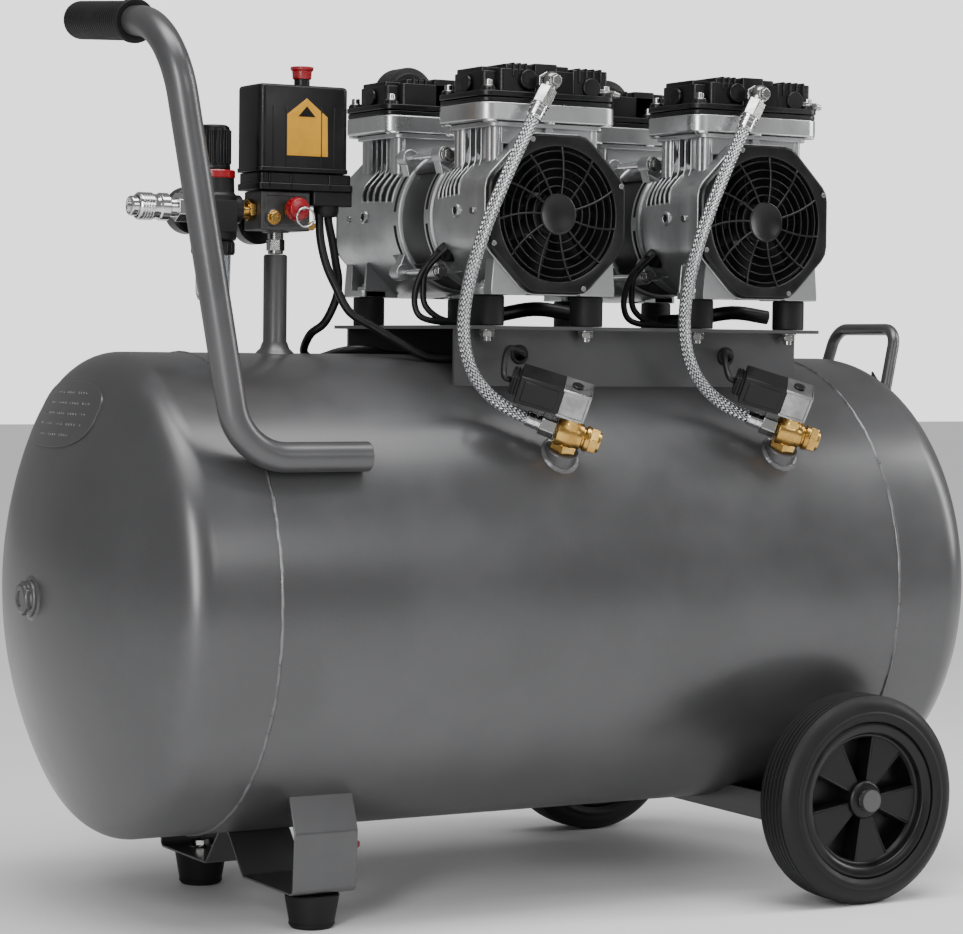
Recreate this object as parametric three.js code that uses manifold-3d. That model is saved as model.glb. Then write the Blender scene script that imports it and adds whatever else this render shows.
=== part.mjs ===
// A wheeled air compressor: a long horizontal tank that carries two twin-cylinder pump units on a platform,
// with a bent push handle, a pressure switch with its regulator, two feet and two wheels.
// Millimetres, +Z up, +X along the tank away from the push handle, -Y towards the front hoses.
import * as THREE from "three";
import { mergeVertices } from "three/addons/utils/BufferGeometryUtils.js";
import Module from "manifold-3d";

const wasm = await Module();
wasm.setup();

// ---------------------------------------------------------------- driving dimensions
const GAP = 0.3; // clearance between parts that touch
const TURNING_GAP = 0.4; // radial clearance of anything that turns or slides

// Tank
const TANK_R = 200;
const TANK_WALL = 3;
const TANK_Z = 266;
const BARREL_HALF = 298;
const SKIRT = 52.5;
const CROWN_R = 370;
const KNUCKLE_R = 33;
const TANK_SIDES = 36;
const END_STEPS = 3;
const PLUG_THREAD_R = 11;
const PLUG_HEAD_R = 15.6;

// Push handle
const HANDLE_R = 12;
const HANDLE_WALL = 2;
const HANDLE_LEAN = 55.8; // degrees round the tank from its top
const HANDLE_START_X = -213;
const HANDLE_FOOT_X = -324.6;
const HANDLE_TOP_X = -384.5;
const HANDLE_TOP_Z = 717;
const HANDLE_END = [-386, 3, 734];
const GRIP_R = 15.5;
const GRIP_MOUTH_Y = -108;

// Carry handle
const CARRY_R = 5.5;
const CARRY_X = 408;
const CARRY_Z = 494;
const CARRY_HALF = 46;
const CARRY_FOOT_X = 389;

// Feet and their bracket
const FOOT_Y = 110;
const FOOT_X = -226.5;
const FOOT_TALL = 28;
const FOOT_BOTTOM_R = 18;
const FOOT_TOP_R = 22.5;
const BRACKET_WIDE = 57;
const STRIP = 4; // thickness of the bent steel strips
const BRACKET_FOLD_Y = 136;
const BRACKET_FOLD_Z = 81;

// Wheels
const WHEEL_R = 90;
const WHEEL_WIDE = 45.7;
const WHEEL_X = 240;
const WHEEL_Y = 218.85;
const RIM_R = 64;
const WHEEL_SIDES = 24;
const AXLE_R = 8;
const CHEEK_Y = 186;
const AXLE_PLATE_WIDE = 82;

// Platform and rubber mounts
const PLATE_X0 = -95;
const PLATE_X1 = 265;
const PLATE_HALF = 120;
const PLATE_THICK = 3;
const PLATE_TOP = 491;
const WEB_Y = 97;
const MOUNT_R = 14;
const MOUNT_TALL = 25.5;
const MOUNT_DX = 48.4;
const MOUNT_Y = 107.4;
const STUD_R = 3.5;

// Pump units
const PUMP_X = [-18.4, 191.8];
const PUMP_BACK = 134.6; // from the middle plane to the open end of each crankcase
const OCTAGON = 135; // across flats
const CASE_R = 62;
const CASE_BORE = 54;
const CORE_HALF = 21.7; // half length of the stator
const STATOR_R = 58;
const ROTOR_R = 37.5;
const SHAFT_R = 8;
const FAN_R = 48;
const FAN_BLADES = 5;
const GRILLE_THICK = 6;
const GRILLE_OPEN_R = 56;
const GRILLE_HUB_R = 17.3;
const GRILLE_SPOKES = 11;
const GRILLE_SWIRL = 6; // degrees each spoke leans round
const NECK_TOP = 76; // above the shaft
const HEAD_PLATE = 15.7;
const HEAD_COVER = 34;
const HEAD_HALF_X = 67;
const HEAD_Y0 = 44;
const HEAD_Y1 = 128;
const CYLINDER_Y = 85;
const CANISTER_R = 28;

// Check valves and hoses
const VALVE_X = [-26.8, 194.7];
const VALVE_LEAN = 53.7; // degrees round the tank from its top
const VALVE_TILT = 32; // degrees from upright
const VALVE_RISE = 22;
const HOSE_R = 6;
const HOSE_DROP = 170;
const HOSE_LIFT = 85;
const HOSE_PORT_DX = -8.9;
const HOSE_PORT_OUT = 13.5;

// Pressure switch, manifold, regulator
const RISER_X = -211.5;
const RISER_R = 10;
const RISER_TOP = 549;
const MANIFOLD_X0 = -233;
const MANIFOLD_X1 = -187.5;
const MANIFOLD_HALF = 17;
const MANIFOLD_Z0 = 568;
const MANIFOLD_Z1 = 602;
const SWITCH_X0 = -237.7;
const SWITCH_X1 = -149.5;
const SWITCH_HALF = 23;
const SWITCH_BASE_TALL = 15;
const SWITCH_COVER_TALL = 73;
const SWITCH_WALL = 2.5;
const SWITCH_KNOB_X = -194;
const SWITCH_KNOB_Y = -12;
const SAFETY_X = -206;
const SAFETY_Z = 586;
const REG_X = -269;
const REG_R = 19.7;
const REG_Z0 = 559;
const REG_Z1 = 611;
const AIR_Z = 585.5; // height of the air line through the regulator
const BOWL_BOTTOM = 506;
const COUPLER_END = -344.5;

// Drain cock, under the tank
const DRAIN_X = -162;

// Motor leads
const LEAD_R = 3.75;

// ---------------------------------------------------------------- sizes that follow from them
const RAD = Math.PI / 180;
const KNUCKLE_X = BARREL_HALF + SKIRT;
const CROWN_X = KNUCKLE_X - Math.sqrt((CROWN_R - KNUCKLE_R) ** 2 - (TANK_R - KNUCKLE_R) ** 2);
const TANK_HALF = CROWN_X + CROWN_R;
const TANK_TOP = TANK_Z + TANK_R;
const TANK_BOTTOM = TANK_Z - TANK_R;
const PLATE_BOTTOM = PLATE_TOP - PLATE_THICK;
const FOOT_LEVEL = PLATE_TOP + MOUNT_TALL; // underside of the pump feet
const SHAFT_Z = FOOT_LEVEL + OCTAGON / 2;
const SWITCH_BASE_TOP = MANIFOLD_Z1 + SWITCH_BASE_TALL;
const SWITCH_TOP = SWITCH_BASE_TOP + SWITCH_COVER_TALL;
const RIM_HALF = 19;
const SEAT_HALF = 16;
const HUB_HALF = 16;

// ---------------------------------------------------------------- helpers
const vec = (x, y, z) => new THREE.Vector3(x, y, z);

// A closed three.js geometry as a solid, turned right side out.
function toSolid(geometry) {
  geometry.deleteAttribute("normal");
  geometry.deleteAttribute("uv");
  const welded = mergeVertices(geometry, 1e-4);
  const corners = new Uint32Array(welded.index.array);
  const made = () =>
    new wasm.Manifold(
      new wasm.Mesh({
        numProp: 3,
        vertProperties: welded.attributes.position.array,
        triVerts: corners,
      }),
    );
  const solid = made();
  if (solid.volume() >= 0) return solid;
  for (let i = 0; i < corners.length; i += 3) {
    [corners[i + 1], corners[i + 2]] = [corners[i + 2], corners[i + 1]];
  }
  return made();
}

// A block between two corners.
function block(x0, x1, y0, y1, z0, z1) {
  const geometry = new THREE.BoxGeometry(x1 - x0, y1 - y0, z1 - z0);
  geometry.translate((x0 + x1) / 2, (y0 + y1) / 2, (z0 + z1) / 2);
  return toSolid(geometry);
}

// A profile of [radius, along] turned about an axis through the origin.
function turned(profile, axis, sides) {
  const points = profile.map(([r, along]) => new THREE.Vector2(r, along));
  const geometry = new THREE.LatheGeometry(points, sides);
  if (axis === "x") geometry.rotateZ(-Math.PI / 2);
  if (axis === "z") geometry.rotateX(Math.PI / 2);
  return toSolid(geometry);
}

// A round bar (or, with two radii, a cone) from one point to another.
function bar(from, to, radius, sides = 16, endRadius = radius) {
  const along = to.clone().sub(from);
  const geometry = new THREE.CylinderGeometry(endRadius, radius, along.length(), sides);
  const turn = new THREE.Quaternion().setFromUnitVectors(vec(0, 1, 0), along.clone().normalize());
  geometry.applyQuaternion(turn);
  const middle = from.clone().add(to).multiplyScalar(0.5);
  geometry.translate(middle.x, middle.y, middle.z);
  return toSolid(geometry);
}

// An outline in X and Z, drawn out along Y from y0 to y1.
function prismY(outline, y0, y1, holes = []) {
  const shape = new THREE.Shape(outline.map(([x, z]) => new THREE.Vector2(x, z)));
  for (const hole of holes) {
    shape.holes.push(new THREE.Path(hole.map(([x, z]) => new THREE.Vector2(x, z))));
  }
  const geometry = new THREE.ExtrudeGeometry(shape, { depth: y1 - y0, bevelEnabled: false, steps: 1 });
  geometry.rotateX(Math.PI / 2);
  geometry.translate(0, y1, 0);
  return toSolid(geometry);
}

// An outline in Y and Z, drawn out along X from x0 to x1.
function prismX(outline, x0, x1) {
  const shape = new THREE.Shape(outline.map(([y, z]) => new THREE.Vector2(y, z)));
  const geometry = new THREE.ExtrudeGeometry(shape, { depth: x1 - x0, bevelEnabled: false, steps: 1 });
  geometry.rotateX(Math.PI / 2);
  geometry.rotateZ(Math.PI / 2);
  geometry.translate(x0, 0, 0);
  return toSolid(geometry);
}

// An outline in X and Y, drawn up from z0 to z1.
function prismZ(outline, z0, z1) {
  const shape = new THREE.Shape(outline.map(([x, y]) => new THREE.Vector2(x, y)));
  const geometry = new THREE.ExtrudeGeometry(shape, { depth: z1 - z0, bevelEnabled: false, steps: 1 });
  geometry.translate(0, 0, z0);
  return toSolid(geometry);
}

// The corners of a regular polygon given its radius to the corners.
function polygon(radius, sides, turn = 0) {
  return Array.from({ length: sides }, (_, i) => {
    const a = turn * RAD + (i * 2 * Math.PI) / sides;
    return [radius * Math.cos(a), radius * Math.sin(a)];
  });
}

// A rectangle with cut corners.
function cutCorners(x0, x1, y0, y1, cut) {
  return [
    [x0 + cut, y0], [x1 - cut, y0], [x1, y0 + cut], [x1, y1 - cut],
    [x1 - cut, y1], [x0 + cut, y1], [x0, y1 - cut], [x0, y0 + cut],
  ];
}

function join(...solids) {
  return solids.reduce((sum, next) => sum.add(next));
}

function cut(solid, ...tools) {
  return tools.reduce((rest, tool) => rest.subtract(tool), solid);
}

// A line of stations, each with a point and a direction, for drawing a section along it.
class StationPath extends THREE.Curve {
  constructor(stations) {
    super();
    this.stations = stations;
  }
  at(u) {
    return this.stations[Math.round(u * (this.stations.length - 1))];
  }
  getPointAt(u) {
    return this.at(u).point.clone();
  }
  getTangentAt(u) {
    return this.at(u).tangent.clone();
  }
}

// Stations along straight runs joined by round bends.
function bentRun(corners, bends, stepsPerBend) {
  const stations = [];
  const last = corners.length - 1;
  const heading = (i) => corners[i + 1].clone().sub(corners[i]).normalize();
  stations.push({ point: corners[0], tangent: heading(0) });
  for (let i = 1; i < last; i++) {
    const before = heading(i - 1);
    const after = heading(i);
    const turn = before.angleTo(after);
    const radius = bends[i - 1];
    const start = corners[i].clone().addScaledVector(before, -radius * Math.tan(turn / 2));
    const inward = after.clone().addScaledVector(before, -Math.cos(turn)).normalize();
    for (let k = 0; k <= stepsPerBend; k++) {
      const a = (turn * k) / stepsPerBend;
      const point = start.clone().addScaledVector(before, radius * Math.sin(a));
      point.addScaledVector(inward, radius * (1 - Math.cos(a)));
      const tangent = before.clone().multiplyScalar(Math.cos(a)).addScaledVector(inward, Math.sin(a));
      stations.push({ point, tangent });
    }
  }
  stations.push({ point: corners[last], tangent: heading(last - 1) });
  return stations;
}

// Stations spaced evenly along any three.js curve.
function curveRun(curve, steps) {
  return Array.from({ length: steps + 1 }, (_, i) => ({
    point: curve.getPointAt(i / steps),
    tangent: curve.getTangentAt(i / steps),
  }));
}

// A round section drawn along stations; with an inner radius it is a tube open at both ends.
function rod(stations, radius, sides, innerRadius = 0) {
  const shape = new THREE.Shape(polygon(radius, sides).map(([x, y]) => new THREE.Vector2(x, y)));
  if (innerRadius > 0) {
    shape.holes.push(new THREE.Path(polygon(innerRadius, sides).map(([x, y]) => new THREE.Vector2(x, y))));
  }
  const path = new StationPath(stations);
  const steps = stations.length - 1;
  return toSolid(new THREE.ExtrudeGeometry(shape, { steps, bevelEnabled: false, extrudePath: path }));
}

const group = new THREE.Group();
group.name = "air_compressor";

const LOOKS = {
  tank: [0x5a5a5b, 0.42, 0.55],
  grip: [0x111111, 0.7, 0],
  cast: [0xb9bbbd, 0.45, 0.85],
  steel: [0x8d9093, 0.3, 0.9],
  chrome: [0xc9cbce, 0.18, 1],
  brass: [0xb58a3c, 0.3, 0.95],
  black: [0x141414, 0.5, 0],
  rubber: [0x161616, 0.8, 0],
  red: [0xa01418, 0.45, 0],
  clear: [0xc8ccd0, 0.15, 0],
  zinc: [0x9a9da0, 0.4, 0.8],
};

// Adds a solid to the part as a named mesh with its own material.
function addPart(name, solid, look) {
  const { vertProperties, triVerts, numProp } = solid.getMesh();
  const positions = new Float32Array((vertProperties.length / numProp) * 3);
  for (let i = 0; i < positions.length / 3; i++) {
    positions.set(vertProperties.subarray(i * numProp, i * numProp + 3), i * 3);
  }
  let geometry = new THREE.BufferGeometry();
  geometry.setAttribute("position", new THREE.BufferAttribute(positions, 3));
  geometry.setIndex(new THREE.BufferAttribute(new Uint32Array(triVerts), 1));
  geometry = geometry.toNonIndexed();
  geometry.computeVertexNormals();
  const [color, roughness, metalness] = LOOKS[look];
  const mesh = new THREE.Mesh(geometry, new THREE.MeshStandardMaterial({ color, roughness, metalness }));
  mesh.name = name;
  group.add(mesh);
}

// ---------------------------------------------------------------- tank
// [radius, x] from the pole of a dished end to the start of its straight skirt, moved outwards by offset.
function dishedEnd(offset, steps) {
  const meet = Math.asin((TANK_R - KNUCKLE_R) / (CROWN_R - KNUCKLE_R));
  const points = [[0, TANK_HALF + offset]];
  for (let k = 1; k <= steps; k++) {
    const a = (meet * k) / steps;
    points.push([(CROWN_R + offset) * Math.sin(a), CROWN_X + (CROWN_R + offset) * Math.cos(a)]);
  }
  for (let k = 1; k <= steps; k++) {
    const a = meet + ((Math.PI / 2 - meet) * k) / steps;
    const r = KNUCKLE_R + offset;
    points.push([TANK_R - KNUCKLE_R + r * Math.sin(a), KNUCKLE_X + r * Math.cos(a)]);
  }
  return points;
}

// The whole tank as one plain solid, grown by offset: used to fit other parts to its surface.
function tankBody(offset) {
  const right = dishedEnd(offset, END_STEPS);
  const left = right.map(([r, x]) => [r, -x]).reverse();
  return turned([...right, ...left], "x", TANK_SIDES).translate([0, 0, TANK_Z]);
}

const TANK_CUT = tankBody(GAP);

// The direction out of the tank at an angle round from its top, towards the front.
function outward(lean) {
  return vec(0, -Math.sin(lean * RAD), Math.cos(lean * RAD));
}

// A point at a distance from the tank's axis.
function fromAxis(x, lean, distance) {
  return outward(lean).multiplyScalar(distance).add(vec(x, 0, TANK_Z));
}

const VALVE_UP = outward(VALVE_TILT);

function tankShell() {
  const end = BARREL_HALF - GAP / 2;
  const inner = TANK_R - TANK_WALL;
  const ring = [[TANK_R, -end], [TANK_R, end], [inner, end], [inner, -end], [TANK_R, -end]];
  let shell = turned(ring, "x", TANK_SIDES).translate([0, 0, TANK_Z]);
  const hollow = turned([[0, -end], [inner - 1, -end], [inner - 1, end], [0, end]], "x", TANK_SIDES);
  const hollowAt = hollow.translate([0, 0, TANK_Z]);
  for (const x of VALVE_X) {
    const seat = fromAxis(x, VALVE_LEAN, TANK_R);
    const low = seat.clone().addScaledVector(VALVE_UP, -14);
    const high = seat.clone().addScaledVector(VALVE_UP, 7);
    shell = shell.add(bar(low, high, 15, 16).subtract(hollowAt));
    const through = seat.clone().addScaledVector(VALVE_UP, -30);
    const above = seat.clone().addScaledVector(VALVE_UP, 20);
    shell = shell.subtract(bar(through, above, 8.4, 16));
  }
  const riserBore = bar(vec(RISER_X, 0, TANK_TOP - 20), vec(RISER_X, 0, TANK_TOP + 20), RISER_R - 3, 16);
  const drainBore = bar(vec(DRAIN_X, 0, TANK_BOTTOM - 20), vec(DRAIN_X, 0, TANK_BOTTOM + 20), 8, 16);
  return cut(shell, riserBore, drainBore);
}

function tankEnd() {
  const seam = BARREL_HALF + GAP / 2;
  const outer = [...dishedEnd(0, END_STEPS), [TANK_R, seam]];
  const inner = [...dishedEnd(-TANK_WALL, END_STEPS - 1), [TANK_R - TANK_WALL, seam]].reverse();
  return turned([...outer, ...inner], "x", TANK_SIDES).translate([0, 0, TANK_Z]);
}

function leftTankEnd() {
  const face = TANK_HALF + 1.2;
  const ring = bar(vec(-face, 0, TANK_Z), vec(-TANK_HALF + 8, 0, TANK_Z), 18, 14);
  const bore = bar(vec(-face - 5, 0, TANK_Z), vec(-TANK_HALF + 20, 0, TANK_Z), PLUG_THREAD_R + GAP, 12);
  return tankEnd().mirror([1, 0, 0]).add(ring).subtract(bore);
}

function inspectionPlug() {
  const face = -TANK_HALF - 1.2 - GAP;
  const head = bar(vec(face, 0, TANK_Z), vec(face - 8.5, 0, TANK_Z), PLUG_HEAD_R, 6);
  const thread = bar(vec(face - 1, 0, TANK_Z), vec(-TANK_HALF + 9, 0, TANK_Z), PLUG_THREAD_R, 12);
  const socket = bar(vec(face - 9, 0, TANK_Z), vec(face - 4, 0, TANK_Z), 6, 6);
  return head.add(thread).subtract(socket);
}

// ---------------------------------------------------------------- handles
function pushHandleRun() {
  const start = fromAxis(HANDLE_START_X, HANDLE_LEAN, TANK_R + HANDLE_R + GAP);
  const foot = start.clone().setX(HANDLE_FOOT_X);
  const top = vec(HANDLE_TOP_X, start.y, HANDLE_TOP_Z);
  return [start, foot, top, vec(...HANDLE_END)];
}

function pushHandle() {
  const stations = bentRun(pushHandleRun(), [48, 62], 6);
  const tube = rod(stations, HANDLE_R, 12, HANDLE_R - HANDLE_WALL);
  return tube.subtract(TANK_CUT);
}

function handleGrip() {
  const [, , top, end] = pushHandleRun();
  const heading = end.clone().sub(top).normalize();
  const mouth = top.clone().addScaledVector(heading, (GRIP_MOUTH_Y - top.y) / heading.y);
  const tip = end.clone().addScaledVector(heading, 6);
  const length = mouth.distanceTo(tip);
  const bore = end.distanceTo(mouth) + GAP;
  const profile = [
    [HANDLE_R + GAP, 0], [GRIP_R + 2, 0], [GRIP_R + 2, 6], [GRIP_R, 7], [GRIP_R, length - 6],
    [GRIP_R - 2, length - 2], [GRIP_R - 6, length], [0, length], [0, bore], [HANDLE_R + GAP, bore],
    [HANDLE_R + GAP, 0],
  ];
  const geometry = new THREE.LatheGeometry(profile.map(([r, y]) => new THREE.Vector2(r, y)), 16);
  geometry.applyQuaternion(new THREE.Quaternion().setFromUnitVectors(vec(0, 1, 0), heading));
  geometry.translate(mouth.x, mouth.y, mouth.z);
  return toSolid(geometry);
}

// Height of the right dished end's surface above the floor at a distance x from the middle and y from the axis.
function domeHeight(x, y) {
  const rho = Math.sqrt(CROWN_R ** 2 - (x - CROWN_X) ** 2);
  return TANK_Z + Math.sqrt(rho ** 2 - y ** 2);
}

function carryHandle() {
  const footZ = domeHeight(CARRY_FOOT_X, CARRY_HALF + 6) + 2;
  const leg = (side) => vec(CARRY_FOOT_X, side * (CARRY_HALF + 6), footZ);
  const corner = (side) => vec(CARRY_X, side * CARRY_HALF, CARRY_Z);
  const run = bentRun([leg(-1), corner(-1), corner(1), leg(1)], [16, 16], 4);
  const loop = rod(run, CARRY_R, 8);
  const tab = (side) => {
    const from = leg(side).add(vec(-13, side * 4, -2));
    const to = leg(side).add(vec(9, side * 4, -14));
    const geometry = new THREE.BoxGeometry(30, 15, 16);
    geometry.rotateY(Math.atan2(from.z - to.z, to.x - from.x));
    geometry.translate((from.x + to.x) / 2, (from.y + to.y) / 2, (from.z + to.z) / 2);
    return toSolid(geometry).intersect(tankBody(GAP + 4));
  };
  return join(loop, tab(-1), tab(1)).subtract(TANK_CUT);
}

// ---------------------------------------------------------------- feet
// A strip of even thickness that follows [y, z] points, as a closed outline.
function stripOutline(points, thickness) {
  const half = thickness / 2;
  const side = (sign) =>
    points.map(([y, z], i) => {
      const before = points[Math.max(i - 1, 0)];
      const after = points[Math.min(i + 1, points.length - 1)];
      const a = new THREE.Vector2(y - before[0], z - before[1]).normalize();
      const b = new THREE.Vector2(after[0] - y, after[1] - z).normalize();
      const along = a.lengthSq() === 0 ? b : b.lengthSq() === 0 ? a : a.clone().add(b).normalize();
      const spread = half / Math.sqrt((1 + (a.lengthSq() && b.lengthSq() ? a.dot(b) : 1)) / 2);
      return [y - sign * along.y * spread, z + sign * along.x * spread];
    });
  return [...side(1), ...side(-1).reverse()];
}

function footBracket() {
  const shelf = FOOT_TALL + GAP + STRIP / 2;
  const x0 = FOOT_X - BRACKET_WIDE / 2;
  const half = [
    [0, TANK_BOTTOM - GAP - STRIP / 2 - 0.5],
    [8, TANK_BOTTOM - GAP - STRIP / 2 - 0.5],
    [37, shelf],
    [BRACKET_FOLD_Y - 3, shelf],
    [BRACKET_FOLD_Y, BRACKET_FOLD_Z],
    [BRACKET_FOLD_Y - 20, BRACKET_FOLD_Z + 56],
  ];
  const front = half.slice(1).map(([y, z]) => [-y, z]).reverse();
  const strip = prismX(stripOutline([...front, ...half.slice(1)], STRIP), x0, x0 + BRACKET_WIDE);
  const weld = block(x0, x0 + BRACKET_WIDE, -7, 7, TANK_BOTTOM - 3, TANK_BOTTOM + 4);
  const bolt = (y) => bar(vec(FOOT_X, y, FOOT_TALL - 5), vec(FOOT_X, y, FOOT_TALL + 12), 4.3, 12);
  return cut(join(strip, weld), TANK_CUT, bolt(-FOOT_Y), bolt(FOOT_Y));
}

function rubberFoot(y) {
  const shelfTop = FOOT_TALL + GAP + STRIP;
  const cone = [
    [0, 0], [FOOT_BOTTOM_R - 1, 0], [FOOT_BOTTOM_R, 1], [FOOT_TOP_R, FOOT_TALL - 3], [FOOT_TOP_R, FOOT_TALL],
    [4, FOOT_TALL], [4, shelfTop + 2], [0, shelfTop + 2],
  ];
  const head = bar(vec(0, 0, shelfTop + GAP), vec(0, 0, shelfTop + GAP + 5.5), 7.5, 6);
  return turned(cone, "z", 18).add(head).translate([FOOT_X, y, 0]);
}

// ---------------------------------------------------------------- wheels
function axleBracket() {
  const x0 = WHEEL_X - AXLE_PLATE_WIDE / 2;
  const x1 = WHEEL_X + AXLE_PLATE_WIDE / 2;
  const top = TANK_BOTTOM - GAP;
  const plate = block(x0, x1, -CHEEK_Y, CHEEK_Y, top - STRIP, top);
  const parts = [plate];
  for (const side of [-1, 1]) {
    const y0 = side * (CHEEK_Y - STRIP);
    const y1 = side * CHEEK_Y;
    const outline = [
      [x0, top - STRIP], [x1, top - STRIP], [x1, WHEEL_R], [x1 - 22, WHEEL_R + 26],
      [x0 + 22, WHEEL_R + 26], [x0, WHEEL_R],
    ];
    parts.push(prismY(outline, Math.min(y0, y1), Math.max(y0, y1)));
    const hubIn = side * (WHEEL_Y - HUB_HALF);
    const hubOut = side * (WHEEL_Y + HUB_HALF);
    const at = (y) => vec(WHEEL_X, y, WHEEL_R);
    parts.push(bar(at(y0 - side * 6), at(hubIn - side * TURNING_GAP), 12, 16));
    parts.push(bar(at(y0), at(hubOut + side * 3), AXLE_R, 16));
    parts.push(bar(at(hubOut + side * TURNING_GAP), at(hubOut + side * 6.5), 9.5, 16));
    for (const x of [x0, x1 - STRIP]) {
      const rib = block(x, x + STRIP, side > 0 ? 20 : -CHEEK_Y + 2, side > 0 ? CHEEK_Y - 2 : -20, top - 1, top + 20);
      parts.push(rib);
    }
  }
  return join(...parts).subtract(TANK_CUT);
}

function wheelRim(y) {
  const ringInner = RIM_R - 5;
  const ring = [
    [ringInner, -RIM_HALF], [RIM_R + 3, -RIM_HALF], [RIM_R + 3, -SEAT_HALF], [RIM_R, -SEAT_HALF],
    [RIM_R, SEAT_HALF], [RIM_R + 3, SEAT_HALF], [RIM_R + 3, RIM_HALF], [ringInner, RIM_HALF],
    [ringInner, -RIM_HALF],
  ];
  const hub = turned([[0, -HUB_HALF], [16, -HUB_HALF], [16, HUB_HALF], [0, HUB_HALF]], "y", 16);
  let disc = turned([[0, -3], [ringInner + 1, -3], [ringInner + 1, 3], [0, 3]], "y", 20);
  for (let i = 0; i < 5; i++) {
    const a0 = i * 72 + 3;
    const a1 = i * 72 + 33;
    const corner = (r, a) => [r * Math.cos(a * RAD), r * Math.sin(a * RAD)];
    const window = [corner(20, a0), corner(54, a0), corner(54, a1), corner(20, a1)];
    disc = disc.subtract(prismY(window, -5, 5));
  }
  const ribs = Array.from({ length: 5 }, (_, i) =>
    block(14, ringInner + 1, -12, 12, -1, 1).rotate([0, i * 72, 0]),
  );
  const bore = bar(vec(0, -30, 0), vec(0, 30, 0), AXLE_R + TURNING_GAP, 16);
  return join(turned(ring, "y", WHEEL_SIDES), hub, disc, ...ribs).subtract(bore).translate([WHEEL_X, y, WHEEL_R]);
}

function tyre(y) {
  const half = WHEEL_WIDE / 2;
  const seat = SEAT_HALF - GAP;
  const inner = RIM_R + GAP;
  const lip = RIM_R + 3 + GAP;
  const right = [
    [inner, seat], [lip, seat], [lip, half - 3], [lip + 6, half], [WHEEL_R - 11, half],
    [WHEEL_R - 3.5, half - 3.5], [WHEEL_R, half - 11],
  ];
  const left = right.map(([r, along]) => [r, -along]).reverse();
  return turned([...right, ...left, right[0]], "y", WHEEL_SIDES).translate([WHEEL_X, y, WHEEL_R]);
}

// ---------------------------------------------------------------- platform and mounts
function motorPlatform() {
  const webZ = TANK_Z + Math.sqrt(TANK_R ** 2 - WEB_Y ** 2) - 6;
  const parts = [block(PLATE_X0, PLATE_X1, -PLATE_HALF, PLATE_HALF, PLATE_BOTTOM, PLATE_TOP)];
  for (const side of [-1, 1]) {
    const web = block(PLATE_X0 + 2, PLATE_X1 - 11, side * WEB_Y - 1.5, side * WEB_Y + 1.5, webZ, PLATE_TOP - 1);
    parts.push(web);
  }
  let platform = join(...parts).subtract(TANK_CUT);
  for (const cx of PUMP_X) {
    const middle = vec(cx - 12, 0, PLATE_BOTTOM - 21);
    platform = platform.subtract(bar(middle.clone().setY(-WEB_Y - 5), middle.clone().setY(-WEB_Y + 5), 6, 16));
    for (const dx of [-MOUNT_DX, MOUNT_DX]) {
      for (const y of [-MOUNT_Y, MOUNT_Y]) {
        const hole = bar(vec(cx + dx, y, PLATE_BOTTOM - 5), vec(cx + dx, y, PLATE_TOP + 5), STUD_R + GAP, 8);
        platform = platform.subtract(hole);
      }
    }
  }
  return platform;
}

// A rubber buffer with a stud and nut at each end; its pad is the pump's foot.
function rubberMount(x, y) {
  const low = PLATE_TOP + GAP;
  const high = FOOT_LEVEL - GAP;
  const at = (z) => vec(0, 0, z);
  const stud = bar(at(PLATE_BOTTOM - 11), at(FOOT_LEVEL + 14), STUD_R, 6);
  const rubber = bar(at(low), at(high), MOUNT_R, 14);
  const nutBelow = bar(at(PLATE_BOTTOM - GAP - 5), at(PLATE_BOTTOM - GAP), 6.3, 6);
  const nutAbove = bar(at(FOOT_LEVEL + 8.5 + GAP), at(FOOT_LEVEL + 12.5), 6, 6);
  return join(stud, rubber, nutBelow, nutAbove).translate([x, y, 0]);
}

// ---------------------------------------------------------------- pump units
// Everything here has its shaft along Y through the origin; a half unit reaches towards +Y.
function crankcase() {
  const octagon = prismY(polygon(OCTAGON / 2 / Math.cos(22.5 * RAD), 8, 22.5), 104, PUMP_BACK);
  const drumProfile = [[0, 22], [CASE_R, 22], [CASE_R + 3, 26], [CASE_R + 3, 60], [CASE_R + 1, 105], [0, 105]];
  const drum = turned(drumProfile, "y", 24);
  const neck = block(-52, 52, 50, 120, 40, NECK_TOP);
  const parts = [octagon, drum, neck];
  for (const side of [-1, 1]) {
    const gusset = [[28, -OCTAGON / 2], [40, -OCTAGON / 2], [60, -30], [50, -25], [28, -40]];
    const flip = (outline) => outline.map(([x, z]) => [side * x, z]);
    const pad = [[30, -OCTAGON / 2], [62, -OCTAGON / 2], [62, -59], [30, -59]];
    parts.push(prismY(flip(pad), 93, 122));
    parts.push(prismY(flip(gusset), 123, PUMP_BACK));
  }
  let body = join(...parts);
  const bore = turned([[0, 30], [CASE_BORE, 30], [CASE_BORE, PUMP_BACK + 5], [0, PUMP_BACK + 5]], "y", 24);
  const mouth = turned([[0, 10], [ROTOR_R + 5, 10], [ROTOR_R + 5, 40], [0, 40]], "y", 16);
  const cylinder = bar(vec(0, CYLINDER_Y - 8, 30), vec(0, CYLINDER_Y - 8, NECK_TOP + 5), 24, 16);
  body = cut(body, bore, mouth, cylinder);
  let wall = turned([[0, 100], [CASE_BORE + 2, 100], [CASE_BORE + 2, 103], [0, 103]], "y", 24);
  for (let i = 0; i < 4; i++) {
    const slot = block(18, 44, 90, 110, -12, 12).rotate([0, i * 90 + 45, 0]);
    wall = wall.subtract(slot);
  }
  body = body.add(wall);
  const seat = bar(vec(0, 90, 0), vec(0, 112, 0), SHAFT_R + TURNING_GAP, 12);
  body = body.subtract(seat);
  for (const side of [-1, 1]) {
    const stud = bar(vec(side * MOUNT_DX, MOUNT_Y, -70), vec(side * MOUNT_DX, MOUNT_Y, -50), STUD_R + GAP, 8);
    body = body.subtract(stud);
  }
  return body;
}

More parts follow.
